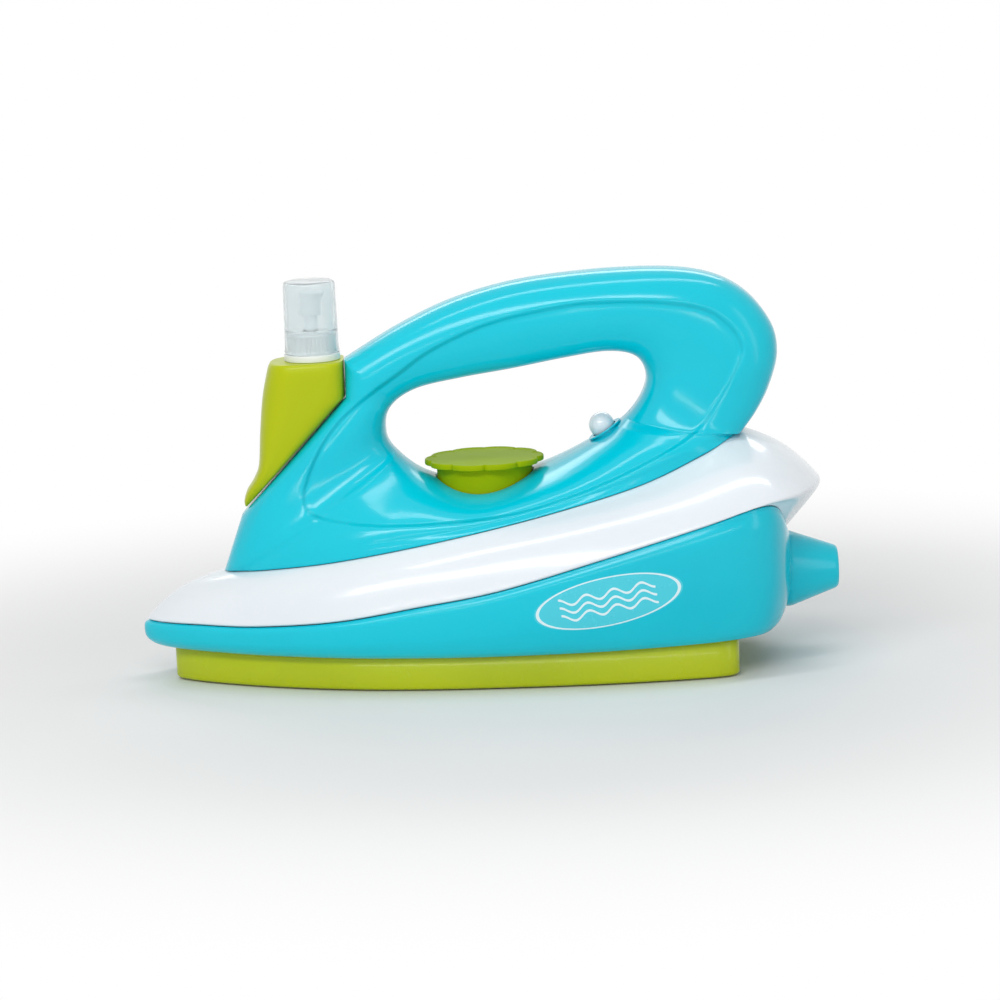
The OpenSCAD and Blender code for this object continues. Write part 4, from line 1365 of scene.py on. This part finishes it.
    def softened(self, ring: list[Row], t: float) -> list[Row]:
        """Ring with a soft turn at the foot and a smooth width at the rear of the seat, but not at its edges.

        Args:
            ring: Ring of the skin.
            t: Share of the way from the outer edge to the opening.

        Returns:
            The smoothed ring.
        """
        count = len(ring)
        fade = min(1.0, t / self.soft_edge) * min(1.0, (1 - t) / self.soft_edge)
        places = np.arange(count)
        foot = np.minimum(places, count - places) / self.foot_reach
        rear = np.abs(places - sum(self.counts[:Stretch.SEAT.value])) / self.rear_reach
        points, width = np.array(ring), fade * np.exp(-rear ** 2)
        for _ in range(self.rear_passes):
            points[:, 1] += width * (
                (np.roll(points[:, 1], 1) + np.roll(points[:, 1], -1)) / 2 - points[:, 1]
            )
        turn = (fade * np.exp(-foot ** 2))[:, None]
        for _ in range(self.foot_passes):
            points += turn * ((np.roll(points, 1, axis=0) + np.roll(points, -1, axis=0)) / 2 - points)
        return [tuple(float(c) for c in point) for point in points]

    def panel_edge(self) -> list[Vector]:
        """Points round the panel's edge in the X and Z plane.

        Returns:
            The points in order.
        """
        loop = Track(self.panel_loop)
        count = self.panel_points
        return [Vector(loop.around(len(self.panel_loop) * k / count)) for k in range(count)]

    def build(self, side: Side) -> bpy.types.Object:
        """Makes one half with its holes and panel.

        Args:
            side: Which half.

        Returns:
            The dressed piece.
        """
        columns = self.columns()
        levels = [(eased(k / self.rows), 0.0) for k in range(self.rows, -1, -1)]
        levels += [(eased(k / self.inner_rows), self.plan.wall) for k in range(self.inner_rows + 1)]
        rings = [self.softened([self.skin(c, t, depth, side) for c in columns], t) for t, depth in levels]
        outer = self.rows + 1
        rings[:outer] = self.sunk(rings[:outer], [t for t, _ in levels[:outer]])
        mesh = bmesh.new()
        add_loft(mesh, rings, closed=True)
        bmesh.ops.remove_doubles(mesh, verts=mesh.verts[:], dist=1e-6)
        piece = finish_mesh(mesh, "handle_shell_" + side.name.lower(), SHELL_SHARP)
        for hole in self.holes(side):
            carve(piece, hole)
        self.store_panel(piece)
        node = "handle_left" if side is Side.NEAR else "handle_right"
        return settle(piece, "iron_body", [node], self.palette.handle)

    def holes(self, side: Side) -> list[bmesh.types.BMesh]:
        """Shapes cut out of a half: the dial's well, the button's hole and, on the far half, the screw holes.

        Args:
            side: Which half.

        Returns:
            The closed shapes.
        """
        x, room, top = self.dial_x, self.dial_room, self.dial_z + self.dial_t
        lean = math.radians(self.button_tilt)
        axis = Vector((-math.sin(lean), 0, math.cos(lean)))
        spot = Vector((self.button[0], 0, self.button[1]))
        bars = [
            (self.drum_r + room, (x, 0, self.post_top_z), (x, 0, top), FINE_STEPS),
            (self.dial_r + room, (x, 0, self.dial_z - room), (x, 0, top + room), FINE_STEPS),
            (self.button_hole_r, spot - axis * 6, spot + axis * 2, self.button_steps),
        ]
        if side is Side.FAR:
            bars += [
                (self.head_hole_r, (p.x, p.y - 1, p.z), (p.x, p.y + 6, p.z), COARSE_STEPS)
                for p in self.posts()
            ]
        shapes = [bmesh.new() for _ in bars]
        for shape, bar in zip(shapes, bars):
            add_cylinder(shape, *bar)
        return shapes

    def posts(self) -> list[Vector]:
        """Tops of the screw posts on the far half, just under its skin."""
        rows = [self.edge_row(part, f) for part, f in self.post_places]
        return [Vector(self.skin(row, 0.5, self.plan.wall, Side.FAR)) for row in rows]

    def build_posts(self) -> bpy.types.Object:
        """Makes the counterbored posts of the far half.

        Returns:
            The dressed piece.
        """
        mesh = bmesh.new()
        for spot in self.posts():
            top, bore, wide = spot.y + self.post_sink, self.post_bore_r, self.head_hole_r
            profile = [(bore, 0), (self.post_r, 0), (self.post_r, top), (wide, top), (wide, self.head_seat_y),
                       (bore, self.head_seat_y), (bore, 0)]
            place = Matrix.Translation((spot.x * MM, 0, spot.z * MM)) @ Matrix.Rotation(-math.pi / 2, 4, "X")
            add_placed(mesh, profile, COARSE_STEPS, place)
        return settle(finish_mesh(mesh, "handle_posts"), "iron_body", (),
                      self.palette.turquoise)

    def panel_gap(self, points: np.ndarray) -> np.ndarray:
        """Distance of each point to the panel's edge, negative inside.

        Args:
            points: Points in millimetres, with x, y and z on the last axis.

        Returns:
            The distances in millimetres.
        """
        flat = np.stack((points[..., 0], points[..., 2] - self.panel_lean * np.abs(points[..., 1])), axis=-1)
        near, inside = np.full(flat.shape[:-1], np.inf), np.zeros(flat.shape[:-1], dtype=bool)
        edge = np.array([tuple(spot) for spot in self.panel_edge()])
        for a, b in zip(edge, np.roll(edge, -1, axis=0)):
            along, reach = b - a, flat - a
            t = np.clip(reach @ along / (along @ along), 0, 1)
            near = np.minimum(near, np.linalg.norm(reach - t[..., None] * along, axis=-1))
            if along[1]:
                crossed = (reach[..., 1] < 0) != (reach[..., 1] < along[1])
                inside ^= crossed & (reach[..., 0] < along[0] * reach[..., 1] / along[1])
        return np.where(inside, -near, near)

    def store_panel(self, piece: bpy.types.Object) -> None:
        """Stores each point's distance to the panel's edge for the finish.

        Args:
            piece: The finished half.
        """
        points = np.array([vert.co[:] for vert in piece.data.vertices]) / MM
        layer = piece.data.attributes.new("panel", "FLOAT", "POINT")
        layer.data.foreach_set("value", self.panel_gap(points).astype(np.float32))

    def sunk(self, rings: Sequence[Sequence[Row]], shares: Sequence[float]) -> list[list[Row]]:
        """Outer skin with the panel round the hand opening pressed in.

        Args:
            rings: Rings of the outer skin, from the opening outwards.
            shares: Share of the way from the outer edge to the opening, for each ring.

        Returns:
            The pressed rings.
        """
        points = np.array(rings)
        press = np.clip(0.5 - self.panel_gap(points) / (2 * self.panel_soft), 0, 1)
        home = np.clip((1 - np.array(shares)) / self.panel_home, 0, 1)[:, None]
        press = press ** 2 * (3 - 2 * press) * home ** 2 * (3 - 2 * home)
        normal = np.cross(np.roll(points, -1, axis=1) - np.roll(points, 1, axis=1),
                          np.gradient(points, axis=0))
        normal /= np.linalg.norm(normal, axis=-1, keepdims=True) + 1e-12
        outward = np.sign((normal[..., 1] * points[..., 1]).sum())
        points -= outward * self.panel_depth * press[..., None] * normal
        return [[tuple(float(c) for c in row) for row in ring] for ring in points]


@dataclass
class Sole:
    """Lime tray under the base with a rounded lower edge, a battery window and four screw wells."""

    plan: Plan
    palette: Palette
    gap: float = 6.2
    end_x: float = 76.6
    soften: float = 2.5
    height: float = 12.0
    floor_t: float = 2.2
    wall: float = 1.6
    round_r: float = 1.2
    round_cuts: int = 6
    rim_r: float = 0.3
    window: tuple[float, float, float] = (-22.2, 46.3, 18.3)
    wells: tuple[tuple[float, float], ...] = ((-60.44, 11.8), (65.6, 25.8))
    well_r: float = 3.1
    boss_r: float = 4.2
    boss_bore_r: float = 1.55
    boss_z: tuple[float, float] = (5.3, 7.7)
    boss_sink: float = 0.6

    def well_places(self) -> list[tuple[float, float]]:
        """Place of each screw well in plan."""
        return [(x, side.value * y) for x, y in self.wells for side in Side]

    def loop(self) -> list[Row]:
        """Outline of the tray, cut short at the heel.

        Returns:
            The closed ring.
        """
        rows = []
        for x, y, _ in self.plan.side_ring(self.gap, 0):
            short = self.end_x - self.soften * math.log1p(math.exp((self.end_x - x) / self.soften))
            rows.append((short, y, 0.0))
        return rows

    def build(self) -> bpy.types.Object:
        """Makes the tray.

        Returns:
            The dressed piece.
        """
        loop = self.loop()
        rings = []
        for k in range(self.round_cuts + 1):
            a = math.pi / 2 * k / self.round_cuts
            rings.append(levelled(inset(loop, self.round_r * (1 - math.sin(a))),
                                  self.round_r * (1 - math.cos(a))))
        steps = ((0, self.height - self.rim_r), (self.rim_r, self.height), (self.wall, self.height),
                 (self.wall, self.floor_t))
        rings += [levelled(inset(loop, gap), z) for gap, z in steps]
        mesh = bmesh.new()
        add_loft(mesh, rings, first=True, last=True)
        piece = finish_mesh(mesh, "sole_tray", SHELL_SHARP)
        opening = bmesh.new()
        start, end, half = self.window
        add_block(opening, (start, -half, -1), (end, half, self.height + 1))
        carve(piece, opening)
        for x, y in self.well_places():
            well = bmesh.new()
            add_cylinder(well, self.well_r, (x, y, -1), (x, y, self.floor_t + 1), COARSE_STEPS)
            carve(piece, well)
        return settle(piece, "sole", ["sole_plate"], self.palette.lime)

    def build_wells(self) -> bpy.types.Object:
        """Makes the bosses above the screw wells.

        Returns:
            The dressed piece.
        """
        mesh = bmesh.new()
        (low, high), bore, outer = self.boss_z, self.boss_bore_r, self.boss_r
        foot = self.floor_t - self.boss_sink
        profile = [
            (bore, low), (self.well_r, low), (self.well_r, foot), (outer, foot), (outer, high), (bore, high),
            (bore, low),
        ]
        for x, y in self.well_places():
            add_placed(mesh, profile, COARSE_STEPS, Matrix.Translation((x * MM, y * MM, 0)))
        piece = finish_mesh(mesh, "sole_bosses")
        return settle(piece, "sole", (), self.palette.lime)


@dataclass
class Bottle:
    """Lime water bottle with level rings, a rounded shoulder and a plain neck."""

    plan: Plan
    palette: Palette
    width: float = 24.0
    neck_r: float = 6.2
    neck_top_z: float = 105.5
    bore_r: float = 4.7
    bore_depth: float = 6.0
    steps: int = 72
    cuts: int = 4
    shape: tuple[Row, ...] = (
        (0.012, -23.4, 0.18), (0.05, -23.6, 0.34), (0.12, -22.6, 0.52), (0.2, -20.2, 0.66),
        (0.3, -18.4, 0.78), (0.5, -17.6, 0.9), (0.75, -16.3, 0.97), (0.92, -14.6, 1),
        (0.985, -13.6, 0.97), (1, -12.2, 0.88),
    )

    def ring(self, row: Row) -> list[Row]:
        """Ring at a share of the height.

        Args:
            row: Share of the height, front before the axis and share of the half width.

        Returns:
            The closed ring.
        """
        plan = self.plan
        z = mix(plan.tip_z, plan.bottle_top_z, row[0])
        slope = mix(plan.tip_x, plan.notch_x, (z - plan.tip_z) / (plan.step_z - plan.tip_z))
        front = plan.bottle_x + row[1]
        back = max(front + 0.6, min(plan.notch_x, slope) - plan.seam)
        rows = []
        for j in range(self.steps):
            c, s = math.cos(2 * math.pi * j / self.steps), math.sin(2 * math.pi * j / self.steps)
            bend, spread = (0.75, 0.7) if c > 0 else (0.4, 0.5)
            share = (1 - math.copysign(abs(c) ** bend, c)) / 2
            rows.append((mix(front, back, share),
                         self.width / 2 * row[2] * math.copysign(abs(s) ** spread, s), z))
        return rows

    def build(self) -> bpy.types.Object:
        """Makes the bottle with its neck.

        Returns:
            The dressed piece.
        """
        plan, track = self.plan, Track(self.shape)
        steps = (track.last - 1) * self.cuts
        rings = [self.ring(track.along((track.last - 1) * k / steps)) for k in range(steps)]
        shoulder, top = self.ring(self.shape[-2]), self.ring(self.shape[-1])
        corner = [(x, y, plan.bottle_top_z) for x, y, _ in inset_to(shoulder, plan.bottle_x, 0.975)]
        rings += curved(shoulder, corner, top)
        low, high, r = plan.bottle_top_z, self.neck_top_z, self.neck_r
        neck = ((r + 0.7, low), (r + 0.2, low + 0.2), (r, low + 0.7), (r, high - 0.4), (r - 0.3, high),
                (self.bore_r, high), (self.bore_r, low - self.bore_depth))
        rings += [level_ring(plan.bottle_x, z, [radius] * self.steps, -1.0) for radius, z in neck]
        mesh = bmesh.new()
        add_loft(mesh, rings, first=True, last=True)
        piece = finish_mesh(mesh, "bottle_shell", 45.0)
        return settle(piece, "iron_body", ["bottle"], self.palette.bottle)


@dataclass
class Sprayer:
    """Mist sprayer on the bottle: screw collar, push head and clear cap."""

    plan: Plan
    palette: Palette
    head_z: float = 113.6
    nozzle_z: float = 117.6
    nozzle_r: float = 1.3
    sleeve_z: float = 109.1
    sleeve_r: float = 2.2
    sleeve_bore_r: float = 1.53
    cap_profile: tuple[tuple[float, float], ...] = (
        (0, 124.4), (7.4, 124.4), (8.1, 123.7), (8.4, 102.9), (8.6, 102.7), (8.6, 101.8), (7.7, 101.8),
        (7.7, 108.8), (7.3, 109.2), (7.1, 123.6), (0, 123.6),
    )
    head_shape: tuple[Row, ...] = (
        (3.2, 0, 0), (3.5, 0, 0.3), (3.5, 0, 4.5), (3.52, 0.05, 4.9), (3.68, 0.32, 5.8), (3.9, 0.68, 6.6),
        (4.0, 0.8, 6.95), (4.0, 0.8, 7.3), (3.85, 0.8, 7.5), (3.6, 0.8, 7.6), (3.1, 0.8, 7.5),
        (1.6, 0.8, 7.3), (0.4, 0.8, 7.25),
    )
    head_steps: int = 64
    collar_profile: tuple[tuple[float, float], ...] = (
        (2.7, 108.6), (6.8, 108.6), (6.8, 107.8), (7.6, 107.8), (7.6, 107.3), (7.6, 106.7),
        (7.6, 102.8), (7.6, 102.2), (7.6, 101.7), (8.75, 101.7), (8.75, 99.6),
        (6.3, 99.6), (6.3, 107.4), (2.7, 107.4),
    )
    rib_z: tuple[float, float] = (102.2, 107.3)
    rib_end: float = 0.5
    rib_depth: float = 0.3
    ribs: int = 40
    rib_steps: int = 8

    def build_cap(self) -> bpy.types.Object:
        """Makes the clear cap.

        Returns:
            The dressed piece.
        """
        mesh = bmesh.new()
        place = Matrix.Translation((self.plan.bottle_x * MM, 0, 0))
        add_turned(mesh, rounded(self.cap_profile, 0.35), FINE_STEPS, place)
        return settle(finish_mesh(mesh, "clear_cap", 60.0), "cap", ["cap"],
                      self.palette.clear)

    def build_head(self) -> bpy.types.Object:
        """Makes the push head with its flared finger rest and its bore.

        Returns:
            The dressed piece.
        """
        x = self.plan.bottle_x
        rings = [
            level_ring(x + shift, self.head_z + z, [r] * self.head_steps)
            for r, shift, z in self.head_shape
        ]
        mesh = bmesh.new()
        add_loft(mesh, rings, first=True, last=True)
        piece = finish_mesh(mesh, "push_head", 40.0)
        bore = bmesh.new()
        add_cylinder(bore, self.nozzle_r, (x - 6, 0, self.nozzle_z), (x, 0, self.nozzle_z), 32)
        carve(piece, bore, 40.0)
        return settle(piece, "spray_head", ["actuator"], self.palette.pump)

    def build_stem(self) -> bpy.types.Object:
        """Makes the sleeve between the push head and the collar.

        Returns:
            The dressed piece.
        """
        mesh = bmesh.new()
        low, top, bore, outer = self.sleeve_z, self.head_z + 0.4, self.sleeve_bore_r, self.sleeve_r
        profile = [
            (bore, low), (outer - 0.1, low), (outer, low + 0.1), (outer, top), (bore, top), (bore, low),
        ]
        add_turned(mesh, profile, COARSE_STEPS, Matrix.Translation((self.plan.bottle_x * MM, 0, 0)))
        return settle(finish_mesh(mesh, "push_sleeve"), "spray_head", (), self.palette.pump)

    def collar_ring(self, radius: float, z: float) -> list[Row]:
        """Ring of the collar, waved where its grip ribs are.

        Args:
            radius: Radius without ribs.
            z: Height.

        Returns:
            The closed ring.
        """
        low, high = self.rib_z
        ends = limited((z - low) / self.rib_end) * limited((high - z) / self.rib_end)
        depth = self.rib_depth * ends if radius > self.collar_profile[2][0] else 0.0
        steps = self.rib_steps
        radii = [radius - depth * eased(2 * j / steps) for j in range(self.ribs * steps)]
        return level_ring(self.plan.bottle_x, z, radii)

    def build_collar(self) -> bpy.types.Object:
        """Makes the collar with rounded edges and grip ribs.

        Returns:
            The dressed piece.
        """
        mesh = bmesh.new()
        add_loft(mesh, [self.collar_ring(r, z) for r, z in rounded(self.collar_profile, 0.2)], closed=True)
        return settle(finish_mesh(mesh, "screw_collar", 60.0), "sprayer", ["spray_collar"],
                      self.palette.pump)


@dataclass
class Dial:
    """Lime dial: a petal disc with a raised rim on a drum."""

    palette: Palette
    x: float = -0.098
    floor_z: float = 64.8
    top_z: float = 66.6
    radius: float = 18.7
    notch: float = 1.5
    petals: int = 10
    drum_r: float = 15.0
    drum_z: float = 48.1
    drum_wall: float = 1.6
    flange: tuple[float, float] = (2.2, 1.5)
    hub: tuple[float, float] = (2.05, 4.0)
    steps: int = 240
    under: tuple[Row, ...] = ((3, 0), (0.3, 0), (0.08, 0.1), (0, 0.35))
    over: tuple[Row, ...] = (
        (0, 0.5, 1), (0.1, 0.2, 1), (0.32, 0.04, 1), (0.6, 0, 1), (0.95, 0.03, 1), (1.25, 0.22, 1),
        (1.6, 0.34, 1), (3, 0.36, 0.9), (7, 0.3, 0.3), (12, 0.2, 0), (16, 0.12, 0), (18.2, 0.1, 0),
    )

    def ring(self, gap: float, z: float, petal: float = 1.0) -> list[Row]:
        """Ring of the petal outline.

        Args:
            gap: Distance inside the outline.
            z: Height.
            petal: Share of the petals' depth.

        Returns:
            The closed ring.
        """
        waves = [math.sqrt(abs(math.cos(math.pi * self.petals * j / self.steps))) for j in range(self.steps)]
        return level_ring(self.x, z, [self.radius - gap - petal * self.notch * (1 - wave) for wave in waves])

    def build(self) -> bpy.types.Object:
        """Makes the disc and its drum.

        Returns:
            The dressed piece.
        """
        low, top = self.floor_z, self.top_z
        rings = [self.ring(gap, low + rise) for gap, rise in self.under]
        rings += [self.ring(gap, top - fall, petal) for gap, fall, petal in self.over]
        mesh = bmesh.new()
        add_loft(mesh, rings, first=True, last=True)
        r, bottom, high, (wide, thick) = self.drum_r, self.drum_z, low + 0.2, self.flange
        inner, (bore, outer) = r - self.drum_wall, self.hub
        drum = [(inner, high), (r, high), (r, bottom + thick), (r + wide, bottom + thick), (r + wide, bottom),
                (inner, bottom), (inner, high)]
        hub = [(bore, high), (outer, high), (outer, bottom), (bore, bottom), (bore, high)]
        place = Matrix.Translation((self.x * MM, 0, 0))
        add_placed(mesh, drum, 120, place)
        add_placed(mesh, hub, 48, place)
        return settle(finish_mesh(mesh, "petal_dial", 45.0), "dial", ["dial"],
                      self.palette.dial)


@dataclass
class BallButton:
    """White ball on a stem, in its small ring."""

    palette: Palette
    spot: tuple[float, float] = (38.467, 72.837)
    tilt: float = 31.5526
    radius: float = 4.0
    rise: float = 2.48
    stem_r: float = 2.4
    stem_z: float = -6.52
    flange_t: float = 1.3

    def build(self) -> bpy.types.Object:
        """Makes the ball with its stem and stop flange.

        Returns:
            The dressed piece.
        """
        join = math.asin(self.stem_r / self.radius)
        arc = [(self.radius * math.sin(a), self.rise + self.radius * math.cos(a))
               for a in ((math.pi - join) * k / 32 for k in range(33))]
        stop = self.stem_z + self.flange_t
        profile = [*arc, (self.stem_r, stop), (self.radius - 0.5, stop), (self.radius - 0.5, self.stem_z),
                   (0.0, self.stem_z)]
        place = Matrix.Translation((self.spot[0] * MM, 0, self.spot[1] * MM))
        mesh = bmesh.new()
        add_turned(mesh, profile, 72, place @ Matrix.Rotation(-math.radians(self.tilt), 4, "Y"))
        return settle(finish_mesh(mesh, "white_ball"), "ball", ["ball_button"],
                      self.palette.ball)

    def build_ring(self) -> bpy.types.Object:
        """Makes the ring and cartridge from their solid, with rounded edges."""
        return settle(copied("button_body", "button_ring", 0.15), "iron_body",
                      ["button_body"], self.palette.turquoise)


@dataclass
class Bush:
    """Tapered cord bush on the heel."""

    palette: Palette
    z: float = 26.5
    profile: tuple[tuple[float, float], ...] = (
        (2.6, 86.0), (13.5, 86.0), (13.5, 88.0), (12.0, 88.0), (12.0, 94.8), (6.8, 109.2),
        (6.0, 110.0), (3.2, 110.0), (2.6, 109.4), (2.6, 86.0),
    )

    def build(self) -> bpy.types.Object:
        """Makes the bush along X.

        Returns:
            The dressed piece.
        """
        mesh = bmesh.new()
        place = Matrix.Translation((0, 0, self.z * MM)) @ Matrix.Rotation(math.pi / 2, 4, "Y")
        add_turned(mesh, rounded(self.profile, 0.8, 5), FINE_STEPS, place)
        return settle(finish_mesh(mesh, "cord_gland"), "iron_body", ["cord_bush"],
                      self.palette.turquoise)


@dataclass(frozen=True)
class Spring:
    """A coil spring made from its solid."""

    palette: Palette
    node: str
    body: str
    joint: str
    axis: Row
    anchor: Row
    length: float
    stroke: float

    def build(self) -> bpy.types.Object:
        """Makes the spring from its solid and gives it a mesh of its own.

        Returns:
            The dressed piece.
        """
        piece = settle(copied(self.node, self.node + "_coil"), self.body, [self.node],
                       self.palette.steel)
        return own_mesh(piece, self.joint, axis=self.axis, anchor=tuple(c * MM for c in self.anchor),
                         keep=1 - self.stroke / self.length)


@dataclass
class Works:
    """Pieces inside and underneath: battery door, chassis, circuit, speaker, springs and screws."""

    palette: Palette
    door_edge: float = 0.35
    springs: tuple[tuple[str, str, str, Row, Row, float, float], ...] = (
        ("sole_springs", "iron_body", "sole_press", (0, 0, 1), (0, 0, 15.5), 13.3, 3.05),
        ("button_spring", "iron_body", "button_press", (0.523282, 0, -0.85216), (45.584, 0, 61.248),
         7.08, 2.1),
    )
    pump_stroke: float = 4.05

    def build_springs(self) -> None:
        """Makes the springs of the sole, the button and the pump."""
        low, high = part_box("pump_spring")
        pump = ("pump_spring", "sprayer", "spray_press", (0, 0, 1), tuple(c / MM for c in low),
                (high[2] - low[2]) / MM, self.pump_stroke)
        for spring in (*self.springs, pump):
            Spring(self.palette, *spring).build()

    def build_door(self) -> bpy.types.Object:
        """Makes the battery door from its solid, with rounded edges."""
        return settle(copied("battery_door", "battery_hatch", self.door_edge), "door",
                      ["battery_door"], self.palette.lime)

    def dress(self) -> None:
        """Puts finishes on the solids that keep their own shape."""
        low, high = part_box("battery_cells")
        cone_low, cone_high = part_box("speaker_cone")
        cell = CellWrap("cell_wrap", low[0] / MM, high[0] / MM).material()
        cone = PaperCone("speaker_paper", (cone_low[0] + cone_high[0]) / 2 / MM).material()
        finishes = {
            self.palette.chassis: ("chassis",),
            self.palette.steel: (
                "sole_screws", "board_screws", "battery_contacts", "door_screw", "handle_screws",
                "chassis_screws", "speaker_magnet",
            ),
            self.palette.black: ("sole_switch", "sound_chip", "speaker_frame"),
            self.palette.natural: ("pump_body", "dip_tube", "pump_stem", "nozzle"),
            self.palette.gasket: ("collar_gasket",),
            self.palette.board: ("circuit_board",),
            self.palette.lens: ("leds",),
            cell: ("battery_cells",),
            cone: ("speaker_cone",),
        }
        for paint, nodes in finishes.items():
            for node in nodes:
                painted(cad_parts[node], paint)
                log.info("finish %s on %s", paint.name, node)


# Studio


@dataclass
class Studio:
    """Pale floor, soft light and the camera."""

    pitch: float = 10.0
    roll: float = 2.5
    pivot: tuple[float, float, float] = (-0.44, 0.0, 52.5)
    pivot_px: tuple[float, float] = (485.0, 500.0)
    image_px: float = 1000.0
    mm_per_px: float = 0.315
    distance: float = 1300.0
    sensor: float = 36.0
    ambient: float = 0.36
    floor_half: float = 3.0
    floor_drop: float = 0.0005
    fade: tuple[float, float] = (0.12, 0.34)
    lamps: tuple[tuple[str, Row, Row, tuple[float, float], float], ...] = (
        ("key", (-0.25, -0.80, 0.62), (0, 0, 0.06), (0.9, 0.16), 4.0),
        ("low", (0.0, -1.00, 0.26), (0, 0, 0.05), (1.3, 0.03), 1.1),
        ("top", (0.05, -0.10, 0.85), (0, 0, 0.05), (1.0, 0.10), 2.05),
        ("fill", (0.75, -0.60, 0.30), (0, 0, 0.06), (0.12, 0.6), 0.4),
        ("back", (0.0, 0.75, 0.60), (0, 0, 0.06), (0.8, 0.2), 1.6),
    )

    def camera(self) -> None:
        """Places the camera at the photograph's viewing angle."""
        pitch, roll = math.radians(self.pitch), math.radians(self.roll)
        ahead = Vector((0, math.cos(pitch), -math.sin(pitch)))
        level, tall = Vector((1, 0, 0)), Vector((0, math.sin(pitch), math.cos(pitch)))
        right = level * math.cos(roll) - tall * math.sin(roll)
        up = level * math.sin(roll) + tall * math.cos(roll)
        middle = self.image_px / 2
        target = Vector(self.pivot)
        target += right * (middle - self.pivot_px[0]) * self.mm_per_px
        target -= up * (middle - self.pivot_px[1]) * self.mm_per_px
        spot = (target - ahead * self.distance) * MM
        lens = bpy.data.cameras.new("camera")
        lens.sensor_width = self.sensor
        lens.lens = self.sensor * self.distance / (self.image_px * self.mm_per_px)
        lens.clip_start, lens.clip_end = 0.05, 20.0
        made = bpy.data.objects.new("camera", lens)
        made.matrix_world = Matrix.Translation(spot) @ Matrix((right, up, -ahead)).transposed().to_4x4()
        bpy.context.scene.collection.objects.link(made)
        bpy.context.scene.camera = made

    def floor(self) -> None:
        """Lays a pale floor that shows as near white to the camera and keeps the shadow."""
        mesh = bmesh.new()
        bmesh.ops.create_grid(mesh, x_segments=1, y_segments=1, size=self.floor_half)
        made = finish_mesh(mesh, "floor", turn=False)
        made.location = (0, 0, -self.floor_drop)
        paint = Paint("pale_floor")
        grain = paint.noise(3.0)
        paint.feed(Base_Color=paint.colours(grain, (0.82, 0.82, 0.82), (0.80, 0.80, 0.80)),
                   Roughness=grain * 0.1 + 0.7)
        reach = paint.node("ShaderNodeVectorMath", {"operation": "LENGTH"}, {0: paint.place()}, "Value")
        paint.cover(reach.step(*self.fade) * paint.seen(), (1.0, 1.0, 1.0))
        made.data.materials.append(paint.material)

    def lamp(self, name: str, place: Row, aim: Row, size: tuple[float, float], power: float) -> None:
        """Hangs one soft rectangular lamp.

        Args:
            name: Name of the lamp.
            place: Where it hangs, in metres.
            aim: Point that it faces, in metres.
            size: Width and height in metres.
            power: Watts.
        """
        light = bpy.data.lights.new(name, "AREA")
        light.shape, light.size, light.size_y, light.energy = "RECTANGLE", size[0], size[1], power
        made = bpy.data.objects.new(name, light)
        way = Vector(aim) - Vector(place)
        made.matrix_world = Matrix.Translation(place) @ way.to_track_quat("-Z", "Y").to_matrix().to_4x4()
        bpy.context.scene.collection.objects.link(made)

    def world(self) -> None:
        """Sets a plain pale surrounding that shows as near white to the camera."""
        world = bpy.data.worlds.new("studio")
        bpy.context.scene.world = world
        world.use_nodes = True
        tree = world.node_tree
        back = tree.nodes["Background"]
        path, strength = tree.nodes.new("ShaderNodeLightPath"), tree.nodes.new("ShaderNodeMapRange")
        strength.inputs["To Min"].default_value, strength.inputs["To Max"].default_value = self.ambient, 1.0
        seen = path.outputs["Is Camera Ray"]
        for kind in ("Is Transmission Ray", "Is Glossy Ray"):
            either = tree.nodes.new("ShaderNodeMath")
            either.operation = "MAXIMUM"
            tree.links.new(seen, either.inputs[0])
            tree.links.new(path.outputs[kind], either.inputs[1])
            seen = either.outputs[0]
        tree.links.new(seen, strength.inputs["Value"])
        tree.links.new(strength.outputs[0], back.inputs["Strength"])
        back.inputs["Color"].default_value = (1, 1, 1, 1)

    def build(self) -> None:
        """Sets up camera, floor, lamps and colour handling."""
        self.camera()
        self.floor()
        self.world()
        for row in self.lamps:
            self.lamp(*row)
        bpy.context.scene.view_settings.view_transform = "Standard"


def main() -> None:
    """Builds and dresses the toy."""
    logging.basicConfig(level=logging.INFO, format="%(name)s: %(message)s")
    Studio().build()
    plan, palette = Plan(), Palette()
    base, handle, sole = Base(plan, palette), Handle(plan, palette), Sole(plan, palette)
    base.sticker(base.build())
    Skirt(plan, palette).build()
    for side in Side:
        handle.build(side)
    handle.build_posts()
    sole.build()
    sole.build_wells()
    Bottle(plan, palette).build()
    sprayer, button, works = Sprayer(plan, palette), BallButton(palette), Works(palette)
    sprayer.build_collar()
    sprayer.build_stem()
    sprayer.build_head()
    sprayer.build_cap()
    Dial(palette).build()
    button.build()
    button.build_ring()
    Bush(palette).build()
    works.build_door()
    works.build_springs()
    works.dress()


if __name__ == "__main__":
    main()
